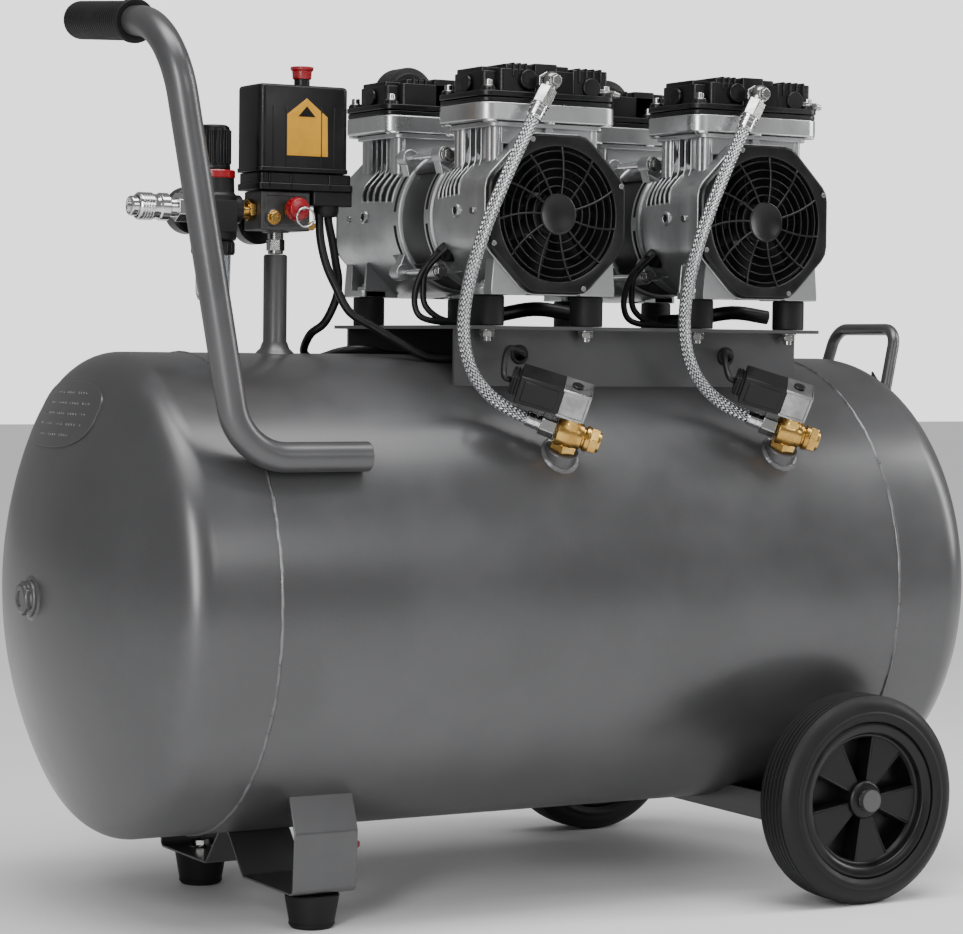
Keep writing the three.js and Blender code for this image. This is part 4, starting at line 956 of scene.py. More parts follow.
class COMPRESSOR_OT_wheels(PieceOperator, bpy.types.Operator):
    """Axle bracket, and two wheels with ringed tyres and spoked plastic rims"""

    bl_idname = "compressor.wheels"
    bl_label = "Wheels"

    def build(self):
        dress("axle_bracket", "paint")
        for name in ("front", "rear"):
            low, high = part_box(name + "_tyre")
            c = (low + high) / 2
            where = placed(mm_x(c), c.y / MM, c.z / MM, flip_y=name == "front")
            self.wheel(name, where, (high.y - low.y) / MM / 2, (high.z - low.z) / MM / 2)

    def wheel(self, name, where, half, radius):
        """Ringed tyre, rim with its hub and spokes, and a domed axle cap."""
        body = name + "_wheel"
        profile = [(64.2, -15.8), (67.2, -15.9), (67.6, -19.5), (70.5, -21.6), (72.2, -half + 0.1),
                   (73.8, -half), (75.2, -half + 0.2), (76.4, -21.6), (80, -21.7), (83.5, -20.6),
                   (86.6, -18.4), (88.4, -16.2)]
        tread = [-16.2, -11.2, -6.3, -1.5, 3.3, 8.2, 13.1, 16.2]
        for a, b in zip(tread, tread[1:]):
            crown = radius - 0.0022 * ((a + b) / 2) ** 2
            profile += [(crown, a + 0.9), (crown, b - 0.9), (crown - 1.5, b - 0.5), (crown - 1.5, b + 0.4)]
        profile = profile[:-2]
        profile += [(r, -y) for r, y in profile[11::-1]]
        bm = bmesh.new()
        lathe(bm, profile, "Y", 112, closed=True)
        make(name + "_tyre_ring", bm, "tyre", where, body, [name + "_tyre"], bevel=0.35,
             angle=40)

        rim = 64
        bm = bmesh.new()
        lathe(bm, [(rim, -15.9), (rim + 3, -16.2), (rim + 3.2, -18.2), (rim + 1, -19.6), (rim - 3, -19.2),
                   (rim - 6, -17), (rim - 7.4, -13), (rim - 8, -4), (rim - 8, 4), (rim - 7.4, 13),
                   (rim - 6, 17), (rim - 3, 19.2), (rim + 1, 19.6), (rim + 3.2, 18.2), (rim + 3, 16.2),
                   (rim, 15.9)], "Y", 96, closed=True)
        lathe(bm, [(8.6, -16), (13.5, -16), (14.6, -15), (15.5, 0), (16.5, 13.5), (14.5, 15.4), (11.5, 16),
                   (8.6, 16)], "Y", 56, closed=True)
        wide = 36
        for k in range(10):
            start = k * wide + 9
            if k % 2:
                arc_block(bm, 15, rim - 7.5, start + 1, start + wide - 1, 8.5, 11, 8)
            else:
                arc_block(bm, 15, rim - 7.5, start + 1, start + wide - 1, -9, -6.5, 8)
            a = math.radians(start)
            rib = block(bm, (14, -9.5, -0.8), (rim - 7, 11.2, 0.8))
            bmesh.ops.rotate(bm, verts=rib, cent=(0, 0, 0), matrix=Matrix.Rotation(-a, 3, "Y"))
        lathe(bm, [(52.5, 9), (54.5, 12.4), (56.5, 13), (57.5, 9)], "Y", 96, closed=True)
        make(name + "_rim", bm, "plastic", where, body, [name + "_wheel_rim"], bevel=0.5)

        bm = bmesh.new()
        dome_nut = [(0, 22.3), (3, 22.1), (6, 21.2), (8.4, 19.4), (9.4, 17.6), (9.4, 16.5), (0, 16.5)]
        lathe(bm, dome_nut, "Y", 48)
        make(name + "_axle_cap", bm, "chrome", where, bevel=0.2)


# ------------------------------------------------------------------ platform and mounts
class COMPRESSOR_OT_platform(PieceOperator, bpy.types.Operator):
    """Pressed platform, rubber mounts with studs, and sleeved leads"""

    bl_idname = "compressor.platform"
    bl_label = "Platform"

    def build(self):
        dress("motor_platform", "paint")
        for i in UNITS:
            for k in range(1, 5):
                node = f"pump_{i}_mount_{k}"
                c = middle(node)
                where = placed(mm_x(c), c.y / MM, 0)
                z0, z1 = PLATE_TOP + 0.2, PLATE_TOP + 25.3
                bm = bmesh.new()
                lathe(bm, [(0, z0), (13.4, z0), (14, z0 + 0.8), (14, z1 - 0.8), (13.4, z1), (0, z1)], "Z", 48)
                make(node + "_rubber", bm, "rubber", where, stands_for=[node], bevel=0)
                bm = bmesh.new()
                rod(bm, (0, 0, PLATE_TOP - 13), (0, 0, PLATE_TOP), 3.5, sides=16)
                nut(bm, (0, 0, PLATE_TOP - 3.1), (0, 0, -1), 11, 5, washer=7.5)
                rod(bm, (0, 0, z1), (0, 0, z1 + 14), 3.3, sides=16)
                rod(bm, (0, 0, z1 + 8.6), (0, 0, z1 + 12.4), 6.1, sides=6)
                make(node + "_studs", bm, "zinc", where, bevel=0.35)
        for i in UNITS:
            c = PUMP_X[i]
            bm = bmesh.new()
            points = [(c + 4, 34, PLATE_TOP + 7), (c + 22, 12, PLATE_TOP + 9), (c + 52, -14, PLATE_TOP + 16),
                      (c + 84, -26, PLATE_TOP + 12)]
            sweep(bm, smooth_points(points), 6.4, 20)
            make(f"lead_sleeve_{i}", bm, "sheath", bevel=0.8, angle=50)


# ------------------------------------------------------------------ pumps
LUGS = ((-51.5, 53), (-57, -46.5), (51.5, 53), (57, -46.5))
HALF_FLAT = 67.5
FRONT_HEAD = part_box("pump_1_front_head")
REAR_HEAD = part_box("pump_1_rear_head")
NECK_INWARD = {"front": 0, "rear": (-FRONT_HEAD[0].y - REAR_HEAD[1].y) / MM}
BOSS_Y, BOSS_Z = 84, 3
COVER_BOLTS = ((-57, 52), (-57, 120), (57, 52), (57, 120), (0, 50), (0, 122.5))


def pump_ends(i):
    """(tag, end, place) of the front and the rear end of a pump."""
    for end in ENDS:
        yield f"pump_{i}_{end}", end, pump_place(i, end == "front")


def louvre_y(number):
    """How far a louvre ridge stands from the middle of the pump."""
    return 42 + number * 46 / settings().louvres


def louvre_places():
    """(side, number, first angle, last angle) of every louvre ridge of a case."""
    for side, a0, a1 in ((1, 13, 47), (-1, 133, 167)):
        for k in range(settings().louvres + 1):
            yield side, k, a0, a1


# (Y, radius of the round shape, how octagonal, half width of the octagon)
CASE_ROWS = (
    (22, 62, 0, 62), (23.5, 64.5, 0, 64.5), (34, 64.8, 0, 64.8), (36.5, 62.4, 0, 62),
    (40, 61.8, 0.1, 63), (50, 61.8, 0.3, 64.4), (62, 62, 0.6, 65.2), (76, 62.4, 0.85, 65.8),
    (90, 63, 0.98, 66.2), (104, 63.4, 1, 66.5), (118, 64, 1, 66.6), (119.4, 64, 1, 67.1),
    (120.5, 64, 1, HALF_FLAT), (134.4, 64, 1, HALF_FLAT),
)


def case_reach(y, degrees):
    """Distance of the case's surface from the shaft."""
    rows = [row for row in CASE_ROWS if row[0] <= y]
    a = rows[-1]
    b = CASE_ROWS[min(len(rows), len(CASE_ROWS) - 1)]
    t = (y - a[0]) / (b[0] - a[0]) if b[0] > a[0] else 0
    radius, square, flats = (a[k] + (b[k] - a[k]) * t for k in (1, 2, 3))
    return squared(radius, degrees, square, flats)


def crankcase_shell(bm):
    """Lofts the body from the round motor flange to the octagonal fan end."""
    rows = [loop(bm, 44, 22)]
    rows += [loop(bm, radius, y, squareness=square, flats=flats) for y, radius, square, flats in CASE_ROWS]
    rows += [loop(bm, 57.5, 134.4), loop(bm, 56.5, 133), loop(bm, 55.6, 104), loop(bm, 30, 103.2)]
    loft(bm, rows, caps=True)


class COMPRESSOR_OT_crankcases(PieceOperator, bpy.types.Operator):
    """Cast crankcases with louvres, lugs, finned necks, feet and tie rods"""

    bl_idname = "compressor.crankcases"
    bl_label = "Crankcases"

    def build(self):
        for i in UNITS:
            for tag, end, where in pump_ends(i):
                self.case(tag, end, where)
                self.painted_shade_openings(tag, end, where)
                self.fixings(tag, where)
            self.core(i)

    def case(self, tag, end, where):
        """The casting, with all that is cast in one with it."""
        bm = bmesh.new()
        crankcase_shell(bm)
        self.neck(bm, NECK_INWARD[end])
        self.feet(bm)
        self.lugs(bm)
        for side, k, a0, a1 in louvre_places():
            y = louvre_y(k)
            hugging_strip(bm, case_reach, 3, 1.5, a0, a1, y - 1.3, y + 1.0)
        for side in (1, -1):
            before = set(bm.verts)
            lathe(bm, [(3.4, 0), (5.6, 0), (6.2, 1.2), (6.2, 4), (3.4, 4)], "X", 28, closed=True)
            for v in set(bm.verts) - before:
                v.co = Vector((side * (68.2 - v.co.x), v.co.y + BOSS_Y, v.co.z + BOSS_Z))
            rod(bm, (side * 62, BOSS_Y, BOSS_Z), (side * 65.4, BOSS_Y, BOSS_Z), 7, 6.4, sides=28)
        make(tag + "_casting", bm, "cast", where, stands_for=[tag + "_case"],
             bevel=0.7, angle=35)

    def lugs(self, bm):
        """Lugs for the tie rods, each on a web between two tapering ribs."""
        for x, z in LUGS:
            lug = Vector((x, 24.4, z))
            out = Vector((x, 0, z)).normalized()
            side = Vector((-out.z, 0, out.x))
            root = out * 59 + Vector((0, 24.4, 0))
            rod(bm, (x, 24, z), (x, 39, z), 7.6, 7.1, sides=28)
            prism(bm, [root + side * 15, lug + side * 6.8, lug - side * 6.8, root - side * 15], (0, 11, 0))
            for turn in (-1, 1):
                heel = out * 60 + side * turn * 12
                prism(bm, [lug + out + side * turn * 5, lug + side * turn * 6.6, heel + Vector((0, 56, 0)),
                           heel - side * turn * 2 + Vector((0, 56, 0))], -out * 9)

    def fixings(self, tag, where):
        """Nuts on the tie rods' ends, and a stud on each side."""
        bm = bmesh.new()
        for x, z in LUGS:
            nut(bm, (x, 40, z), (0, 1, 0), 8.5, 4, washer=6)
        for side in (-1, 1):
            rod(bm, (side * 63, 112, 2), (side * 68, 112, 2), 3.2, sides=20)
        make(tag + "_bolts", bm, "zinc", where, bevel=0.4)

    def neck(self, bm, inward):
        """Cylinder neck: rounded posts at its corners and thin fins between them."""
        z0, z1 = 46, 76
        y0, y1 = 50 - inward, 120 - inward
        block(bm, (-47.4, y0 + 2, 58), (47.4, y1 - 1.5, z1))
        block(bm, (-44, y0 + 0.6, 58.5), (44, y1 - 0.4, z1))
        for side in (-1, 1):
            x0, x1 = sorted((side * 41, side * 47.4))
            block(bm, (x0, y0 + 2, 42), (x1, y1 - 1.5, 59))
        for side in (-1, 1):
            for y in (y0 + 4.4, y0 + 11, y1 - 4.4, y1 - 12):
                rod(bm, (side * 47.2, y, z0 - 6), (side * 47.2, y, z1), 4.3, sides=24)
            for k in range(1, 5):
                y = y0 + 11 + k * (y1 - y0 - 23) / 5
                prism(bm, [(side * 46, y - 0.8, z1), (side * 51.8, y - 0.8, z1), (side * 51.8, y - 0.8, z0),
                           (side * 56, y - 0.8, z0 - 12), (side * 46, y - 0.8, z0 - 12)], (0, 1.6, 0))
        plate_z(bm, -56, 56, y0 - 4, y1 + 4, z1 - 4, z1 + 0.2, 9)
        rod(bm, (0, y1 - 2, 70), (0, y1 + 3.5, 70), 4, sides=24)

    def feet(self, bm):
        """Cast feet with their gussets, one on each rubber mount."""
        for side in (-1, 1):
            x0, x1 = sorted((side * 34, side * 63))
            plate_z(bm, x0, x1, 94, 121, -HALF_FLAT, -61.5, 5)
            rod(bm, (side * 48.4, 107.4, -67), (side * 48.4, 107.4, -58.2), 11.2, 10.2, sides=32)
            for y0, y1 in ((94, 96.5), (121, 134)):
                prism(bm, [(side * 26, y0, -HALF_FLAT), (side * 60, y0, -HALF_FLAT), (side * 60, y0, -62),
                           (side * 58, y0, -38), (side * 50, y0, -34), (side * 28, y0, -52)], (0, y1 - y0, 0))

    def painted_shade_openings(self, tag, end, where):
        """Painted shade: dark sheets that stand for the shade inside the louvre slots, flange slots, the
        cable mouth, the neck window and the fan end.
        """
        window_y = BOSS_Y - NECK_INWARD[end]
        bm = bmesh.new()
        for side, k, a0, a1 in louvre_places():
            y = louvre_y(k + 0.5)
            if k < settings().louvres:
                hugging_strip(bm, case_reach, 3, 0.25, a0 + 1.5, a1 - 1.5, y - 2.6, y + 2.6)
        for side in (1, -1):
            base = 0 if side > 0 else 180
            for z0, z1 in ((6, 38), (-38, -6)):
                arc_block(bm, 60, 65.1, base + math.degrees(math.asin(z0 / 64.8)) * side,
                          base + math.degrees(math.asin(z1 / 64.8)) * side, 27.5, 30.6, 8)
            rod(bm, (side * 60, BOSS_Y, BOSS_Z), (side * 67.6, BOSS_Y, BOSS_Z), 3.5, sides=24)
            rod(bm, (side * 46, window_y, 61), (side * 47.8, window_y, 61), 12.5, sides=36)
        lathe(bm, [(20, 103.6), (55.2, 104.4), (56.2, 132.6), (54.6, 132.6), (53.6, 106), (20, 105)],
              "Y", 64, closed=True)
        if end == "front":
            rod(bm, (-52, 50, -30), (-59.5, 52, -31), 9, 8, sides=28)
        # Painted shade: these near-black sheets stand for the shaded insides of the openings.
        make(tag + "_painted_shade", bm, "shade_and_print", where, bevel=0)

    def core(self, i):
        """Laminated stator between the two crankcases, and the tie rods."""
        node = f"pump_{i}_stator"
        bm = bmesh.new()
        lathe(bm, [(40, -22), (60.8, -22), (61.3, -20), (61.3, 20), (60.8, 22), (40, 22)], "Y", 96,
              closed=True)
        for a in (45, 135, 225, 315):
            arc_block(bm, 50, 63, a - 6, a + 6, -21.8, 21.8, 4)
        make(node + "_core", bm, "laminated", pump_place(i, False), stands_for=[node],
             bevel=0.4)
        bm = bmesh.new()
        for x, z in LUGS:
            rod(bm, (x, -41, z), (x, 41, z), 2.6, sides=18)
        make(f"pump_{i}_tie_rods", bm, "chrome", pump_place(i, False), bevel=0.3)


class COMPRESSOR_OT_fans(PieceOperator, bpy.types.Operator):
    """Octagonal grilles, and the rotor with its two fans"""

    bl_idname = "compressor.fans"
    bl_label = "Grilles and fans"

    def build(self):
        for i in UNITS:
            for tag, end, where in pump_ends(i):
                self.grille(tag + "_grille", where)
            self.rotor(i)

    def grille(self, node, where):
        """Octagonal frame, rings, swirled spokes and hub cap, with four screws."""
        y0, y1 = 134.9, 140.8
        open_r = 56
        bm = bmesh.new()
        rows = [loop(bm, 60, y0, squareness=1, flats=66.4), loop(bm, 60, y0 + 3.6, squareness=1, flats=66.4),
                loop(bm, 60, y0 + 5.4, squareness=1, flats=64.6), loop(bm, open_r + 2.2, y1 - 0.2),
                loop(bm, open_r + 0.6, y1 - 0.8), loop(bm, open_r, y1 - 2.4), loop(bm, open_r, y0)]
        loft(bm, rows, close=True)
        count = settings().grille_rings
        hub = 17.3
        for k in range(1, count + 1):
            r = hub + (open_r - hub) * (k - 0.12) / (count + 0.35)
            lathe(bm, [(r - 0.65, y1 - 3.4), (r + 0.65, y1 - 3.4), (r + 0.5, y1 - 0.9), (r - 0.5, y1 - 0.9)],
                  "Y", 64, closed=True)
        lathe(bm, [(0, y1 - 3.4), (hub, y1 - 3.4), (hub, y1 - 0.4), (hub - 1.1, y1 + 0.1),
                   (hub - 2.2, y1 - 0.7), (0, y1 - 0.7)], "Y", 48)
        spokes = 11
        for k in range(spokes):
            a = 2 * math.pi * k / spokes + 0.25
            swirl = 0.13
            points = []
            for s in range(7):
                r = hub - 1 + (open_r + 1.5 - hub) * s / 6
                t = a + swirl * (s / 6) ** 1.5
                points.append((r * math.cos(t), y1 - 1.2, r * math.sin(t)))
            sweep(bm, points, 1.0, 8)
        make(node + "_guard", bm, "plastic", where, stands_for=[node], bevel=0.35,
             angle=40)
        bm = bmesh.new()
        for a in (22.5, 112.5, 202.5, 292.5):
            t = math.radians(a)
            rod(bm, (66.5 * math.cos(t), y1 - 2.4, 66.5 * math.sin(t)),
                (66.5 * math.cos(t), y1 - 0.2, 66.5 * math.sin(t)), 2.6, 2.2, sides=20)
        make(node + "_screws", bm, "steel", where, bevel=0.2)

    def rotor(self, i):
        """Two fans on the shaft, and the core of the rotor."""
        body = f"pump_{i}_shaft"
        where = pump_place(i, False)
        bm = bmesh.new()
        for side in (-1, 1):
            lathe(bm, [(0, side * 108), (13, side * 108), (16.5, side * 111), (16.5, side * 128),
                       (13, side * 130), (0, side * 130)], "Y", 48)
            for k in range(7):
                turn = Matrix.Rotation(2 * math.pi * k / 7, 4, "Y")
                rows = []
                for s in range(6):
                    r = 14 + 34 * s / 5
                    chord = 17 - 3 * s / 5
                    twist = math.radians(side * (42 - 14 * s / 5))
                    made = bmesh.ops.create_circle(bm, segments=10, radius=1)["verts"]
                    for v in made:
                        a = math.atan2(v.co.y, v.co.x)
                        across, thick = chord / 2 * math.cos(a), 0.9 * math.sin(a)
                        y = across * math.cos(twist) - thick * math.sin(twist)
                        z = across * math.sin(twist) + thick * math.cos(twist)
                        v.co = turn @ Vector((r, side * 119 + y, z))
                    rows.append(made)
                loft(bm, rows, caps=True)
        make(f"pump_{i}_fan_blades", bm, "plastic_matt", where, body, bevel=0)
        bm = bmesh.new()
        rod(bm, (0, -131, 0), (0, 131, 0), 7.9, sides=32)
        lathe(bm, [(0, -20), (37.4, -20), (37.4, 20), (0, 20)], "Y", 64)
        make(f"pump_{i}_shaft_core", bm, "steel", where, body, [f"pump_{i}_rotor"], bevel=0.4)


class COMPRESSOR_OT_heads(PieceOperator, bpy.types.Operator):
    """Cylinder heads: aluminium plates, black covers, bolts and intake canisters"""

    bl_idname = "compressor.heads"
    bl_label = "Cylinder heads"

    def build(self):
        for i in UNITS:
            for tag, end, where in pump_ends(i):
                self.head(tag, end, where @ Matrix.Translation((0, -NECK_INWARD[end], 0)))

    def head(self, tag, end, where):
        """Plate, stepped cover and bolts, with a hose barb in front or a canister behind."""
        z0 = 76.4
        bm = bmesh.new()
        plate_z(bm, -66.8, 66.8, 44.2, 127.8, z0 + 0.4, z0 + 15.4, 14)
        for x in (-56, 0, 56):
            for y in (50, 122):
                rod(bm, (x, y, z0 - 1.5), (x, y, z0 + 1), 6, sides=24)
        make(tag + "_head_plate", bm, "machined", where, bevel=1.4, rounding=3)
        z = z0 + 15.6
        bm = bmesh.new()
        plate_z(bm, -66, 66, 45, 127, z, z + 4, 12)
        plate_z(bm, -66.6, 66.6, 44.4, 127.6, z + 4.6, z + 9.4, 12)
        top = 125.7
        plate_z(bm, -46, 57, 52, 120, z + 9, top - 5, 5)
        plate_z(bm, -57.6, -20, 60, 112, z + 9, top - 7, 5)
        plate_z(bm, -57, -30, 64, 108, z + 12, top - 3.4, 3)
        plate_z(bm, -40, 22, 56, 119, z + 20, top - 1, 3)
        plate_z(bm, 24, 59, 58, 121, z + 9, top - 3, 3)
        plate_z(bm, -14, 8, 52, 123, z + 9, top, 2)
        for x in (-33, -27, -21):
            block(bm, (x - 1, 54, z + 22), (x + 1, 121, top))
        for x in (30, 37, 44, 51):
            block(bm, (x - 1, 57, z + 20), (x + 1, 122.5, top - 1.4))
        rod(bm, (-20, 118, z + 20), (-20, 124.5, z + 20), 9.2, 8.2, sides=36)
        rod(bm, (42, 118, z + 16), (42, 123.4, z + 16), 9, 8.4, sides=36)
        rod(bm, (-58, 86, z + 17), (-61, 86, z + 17), 8, 7.4, sides=32)
        for x, y in COVER_BOLTS:
            rod(bm, (x, y, z + 8), (x, y, z + 12.6), 6.8, 6.2, sides=28)
        make(tag + "_cover", bm, "plastic", where, stands_for=[tag + "_head"],
             bevel=0.8)
        bm = bmesh.new()
        for x, y in COVER_BOLTS:
            rod(bm, (x, y, z + 12.6), (x, y, z + 13.6), 5.4, sides=24)
            rod(bm, (x, y, z + 13.6), (x, y, z + 18.4), 3.9, 3.6, sides=20)
        make(tag + "_cover_bolts", bm, "zinc", where, bevel=0.5)
        if end == "front":
            bm = bmesh.new()
            rod(bm, (48, 120, z + 14), (66, 121, z + 12), 3, sides=20)
            rod(bm, (64, 121, z + 12), (70, 121.3, z + 11.5), 3.6, 2.2, sides=20)
            make(tag + "_barb", bm, "zinc", where, bevel=0.3)
        else:
            self.canister(tag, where, top - 11)

    def canister(self, tag, where, cz):
        """Ribbed intake canister on the outer side of a rear head."""
        bm = bmesh.new()
        cx, r = -12.5, 25
        profile = [(0, 100), (8, 99.4), (9, 100.2), (14, 100.2), (15, 99.4), (19, 99.4), (20, 100.2),
                   (23.4, 100.6)]
        y = 101.6
        while y < 122:
            profile += [(r, y), (r, y + 2.2), (r - 1.6, y + 2.9), (r - 1.6, y + 4)]
            y += 4.9
        profile += [(r - 1, y), (r - 3, 127.8), (0, 127.8)]
        lathe(bm, profile, "Y", 72, (cx, 0, cz))
        make(tag + "_intake_canister", bm, "plastic_matt", where, bevel=0.4)


# ------------------------------------------------------------------ hoses, valves
VALVE_LEAN = math.radians(53.7)
VALVE_OUT = Vector((0, -math.sin(VALVE_LEAN), math.cos(VALVE_LEAN)))
VALVE_UP = Vector((0, -math.sin(math.radians(32)), math.cos(math.radians(32))))
VALVE_X = {1: -26.8, 2: 194.7}
HOSE_START = Vector((-0.527, -0.13, -0.84)).normalized()
HOSE_FINISH = Vector((-0.815, 0.455, 0.34)).normalized()


def valve_seat(i):
    """Where the boss of a check valve meets the tank."""
    return Vector((VALVE_X[i], 0, TANK_Z)) + VALVE_OUT * TANK_R


def valve_centre(i):
    """Where the two bores of a check valve cross."""
    return valve_seat(i) + VALVE_UP * 22


class COMPRESSOR_OT_hoses(PieceOperator, bpy.types.Operator):
    """Braided delivery hoses with their end fittings"""

    bl_idname = "compressor.hoses"
    bl_label = "Hoses"

    def build(self):
        for i in UNITS:
            port = Vector((PUMP_X[i] - 8.9, -141.5, SHAFT_Z + 110))
            valve = valve_centre(i)
            p0, p3 = port + HOSE_START * 38, valve + HOSE_FINISH * 34
            control = (p0, p0 + HOSE_START * 170, p3 + HOSE_FINISH * 85, p3)
            bm = bmesh.new()
            sweep(bm, curve_points(control, 90), 5.4, 28)
            make(f"hose_{i}_braid", bm, "braid", stands_for=[f"pump_{i}_hose"], bevel=0)
            bm = bmesh.new()
            for base, way, first in ((port, HOSE_START, 25), (valve, HOSE_FINISH, 23)):
                rod(bm, base + way * first, base + way * (first + 2.5), 7.4, sides=32)
                rod(bm, base + way * (first + 2), base + way * (first + 12), 6.7, 6.9, sides=32)
                rod(bm, base + way * (first + 12), base + way * (first + 14), 6.9, 6.2, sides=32)
                rod(bm, base + way * (first + 5), base + way * (first + 6.6), 7.3, sides=32)
            make(f"hose_{i}_ferrules", bm, "chrome", bevel=0.4)
            bm = bmesh.new()
            rod(bm, port + HOSE_START * 8.5, port + HOSE_START * 25.5, 9, sides=6)
            rod(bm, valve + HOSE_FINISH * 11, valve + HOSE_FINISH * 24, 9.6, sides=6)
            rod(bm, port - HOSE_START * 2, port + HOSE_START * 9, 6.2, sides=28)
            ball(bm, port, 8)
            rod(bm, port + Vector((0, 13.2, 0)), port + Vector((0, -7, 0)), 6.3, 6, sides=28)
            nut(bm, port + Vector((0, 12.5, 0)), (0, -1, 0), 15, 5)
            lid = port + Vector((0, -6.5, 0))
            rod(bm, lid, lid + Vector((0, -3.2, 0)), 5.4, 4.8, sides=6)
            make(f"hose_{i}_unions", bm, "zinc", bevel=0.7)


class COMPRESSOR_OT_valves(PieceOperator, bpy.types.Operator):
    """Brass check valves with their solenoids, on welded bosses"""

    bl_idname = "compressor.valves"
    bl_label = "Check valves"

    def build(self):
        for i in UNITS:
            centre = valve_centre(i)
            across = Vector((0.84, -0.46, -0.287))
            across = (across - VALVE_UP * across.dot(VALVE_UP)).normalized()
            third = VALVE_UP.cross(across)
            basis = Matrix((across, third, VALVE_UP)).transposed().to_4x4()
            where = placed() @ Matrix.Translation(centre) @ basis
            bm = bmesh.new()
            lathe(bm, [(0, -30), (14.6, -30), (14.6, -16), (13.6, -15.2), (0, -15.2)], "Z", 48)
            make(f"valve_{i}_boss", bm, "paint", where, bevel=0.3)
            bm = bmesh.new()
            bead = [(13, -2.6), (19.4, -2.4), (18.6, -1.2), (17, 0), (15.8, 2), (13, 2.6)]
            lathe(bm, bead, "Z", 96, closed=True)
            for v in bm.verts:
                a = math.atan2(v.co.y, v.co.x)
                v.co.z += 0.12 * math.sin(a * 17) + 0.1 * math.sin(a * 29 + 1)
            seat = placed() @ Matrix.Translation(valve_seat(i)) @ pointing(VALVE_OUT)
            make(f"valve_{i}_weld", bm, "weld", seat, bevel=0)
            bm = bmesh.new()
            nut(bm, (0, 0, -15), (0, 0, 1), 21, 8)
            lathe(bm, [(0, -8), (9.5, -8), (9.5, 10), (7.5, 14), (0, 14)], "Z", 40)
            lathe(bm, [(0, -10), (10, -10), (12.4, -8.6), (12.6, 4), (11.4, 6.4), (10.8, 9), (10.8, 12),
                       (9, 12.6), (9, 14.2), (10.8, 14.8), (10.8, 18), (9.6, 19), (0, 19)], "X", 56)
            rod(bm, (18.6, 0, 0), (25.4, 0, 0), 11.3, sides=6)
            lathe(bm, [(0, 25), (8.6, 25), (8.6, 27.4), (7.6, 28), (5, 28), (4.6, 26.6), (0, 26.6)], "X", 40)
            lathe(bm, [(0, 12), (8, 12), (8, 15.5), (7, 16.5), (0, 16.5)], "Z", 36)
            make(f"valve_{i}_body", bm, "brass", where, stands_for=[f"pump_{i}_check_valve"],
                 bevel=0.5)
            bm = bmesh.new()
            block(bm, (-15, -12.4, 18), (9, 12.4, 20.5))
            block(bm, (-15, -12.4, 41.5), (9, 12.4, 44))
            block(bm, (6.8, -12.4, 18), (9.2, 12.4, 44))
            block(bm, (-14, -11.6, 19), (8, 11.6, 43))
            make(f"valve_{i}_yoke", bm, "steel", where, bevel=0.6)
            bm = bmesh.new()
            block(bm, (-51, -12.2, 19), (-14, 12.2, 44))
            block(bm, (-47, -12.8, 22), (-18, 12.8, 41))
            rod(bm, (-4, 0, 44), (-4, 0, 45.6), 5, sides=32)
            for x in (-56, -53.4, -50.8):
                block(bm, (x - 0.7, -9.8, 23.2), (x + 0.7, 9.8, 40.8))
            block(bm, (-58, -9, 24), (-50, 9, 40))
            make(f"valve_{i}_coil", bm, "plastic", where, bevel=1.4)
            bm = bmesh.new()
            start = centre + basis.to_3x3() @ Vector((-57, -3, 33))
            hole = Vector((PUMP_X[i] - 12, -98, PLATE_TOP - 24))
            points = [start, start + basis.to_3x3() @ Vector((-8, 0, 3)),
                      start * 0.45 + hole * 0.55 + Vector((-12, -8, 14)), hole + Vector((0, -8, 1)),
                      hole + Vector((3, 14, -3))]
            sweep(bm, smooth_points(points), 2.6, 14)
            make(f"valve_{i}_wire", bm, "sheath", bevel=0)
            bm = bmesh.new()
            lathe(bm, [(5.2, -2.4), (7.4, -2.4), (8.2, -1.6), (8.2, 0), (5.4, 0)], "Y", 32, closed=True)
            make(f"platform_grommet_{i}", bm, "rubber", placed(PUMP_X[i] - 12, -98.4, PLATE_TOP - 24),
                 bevel=0.2)


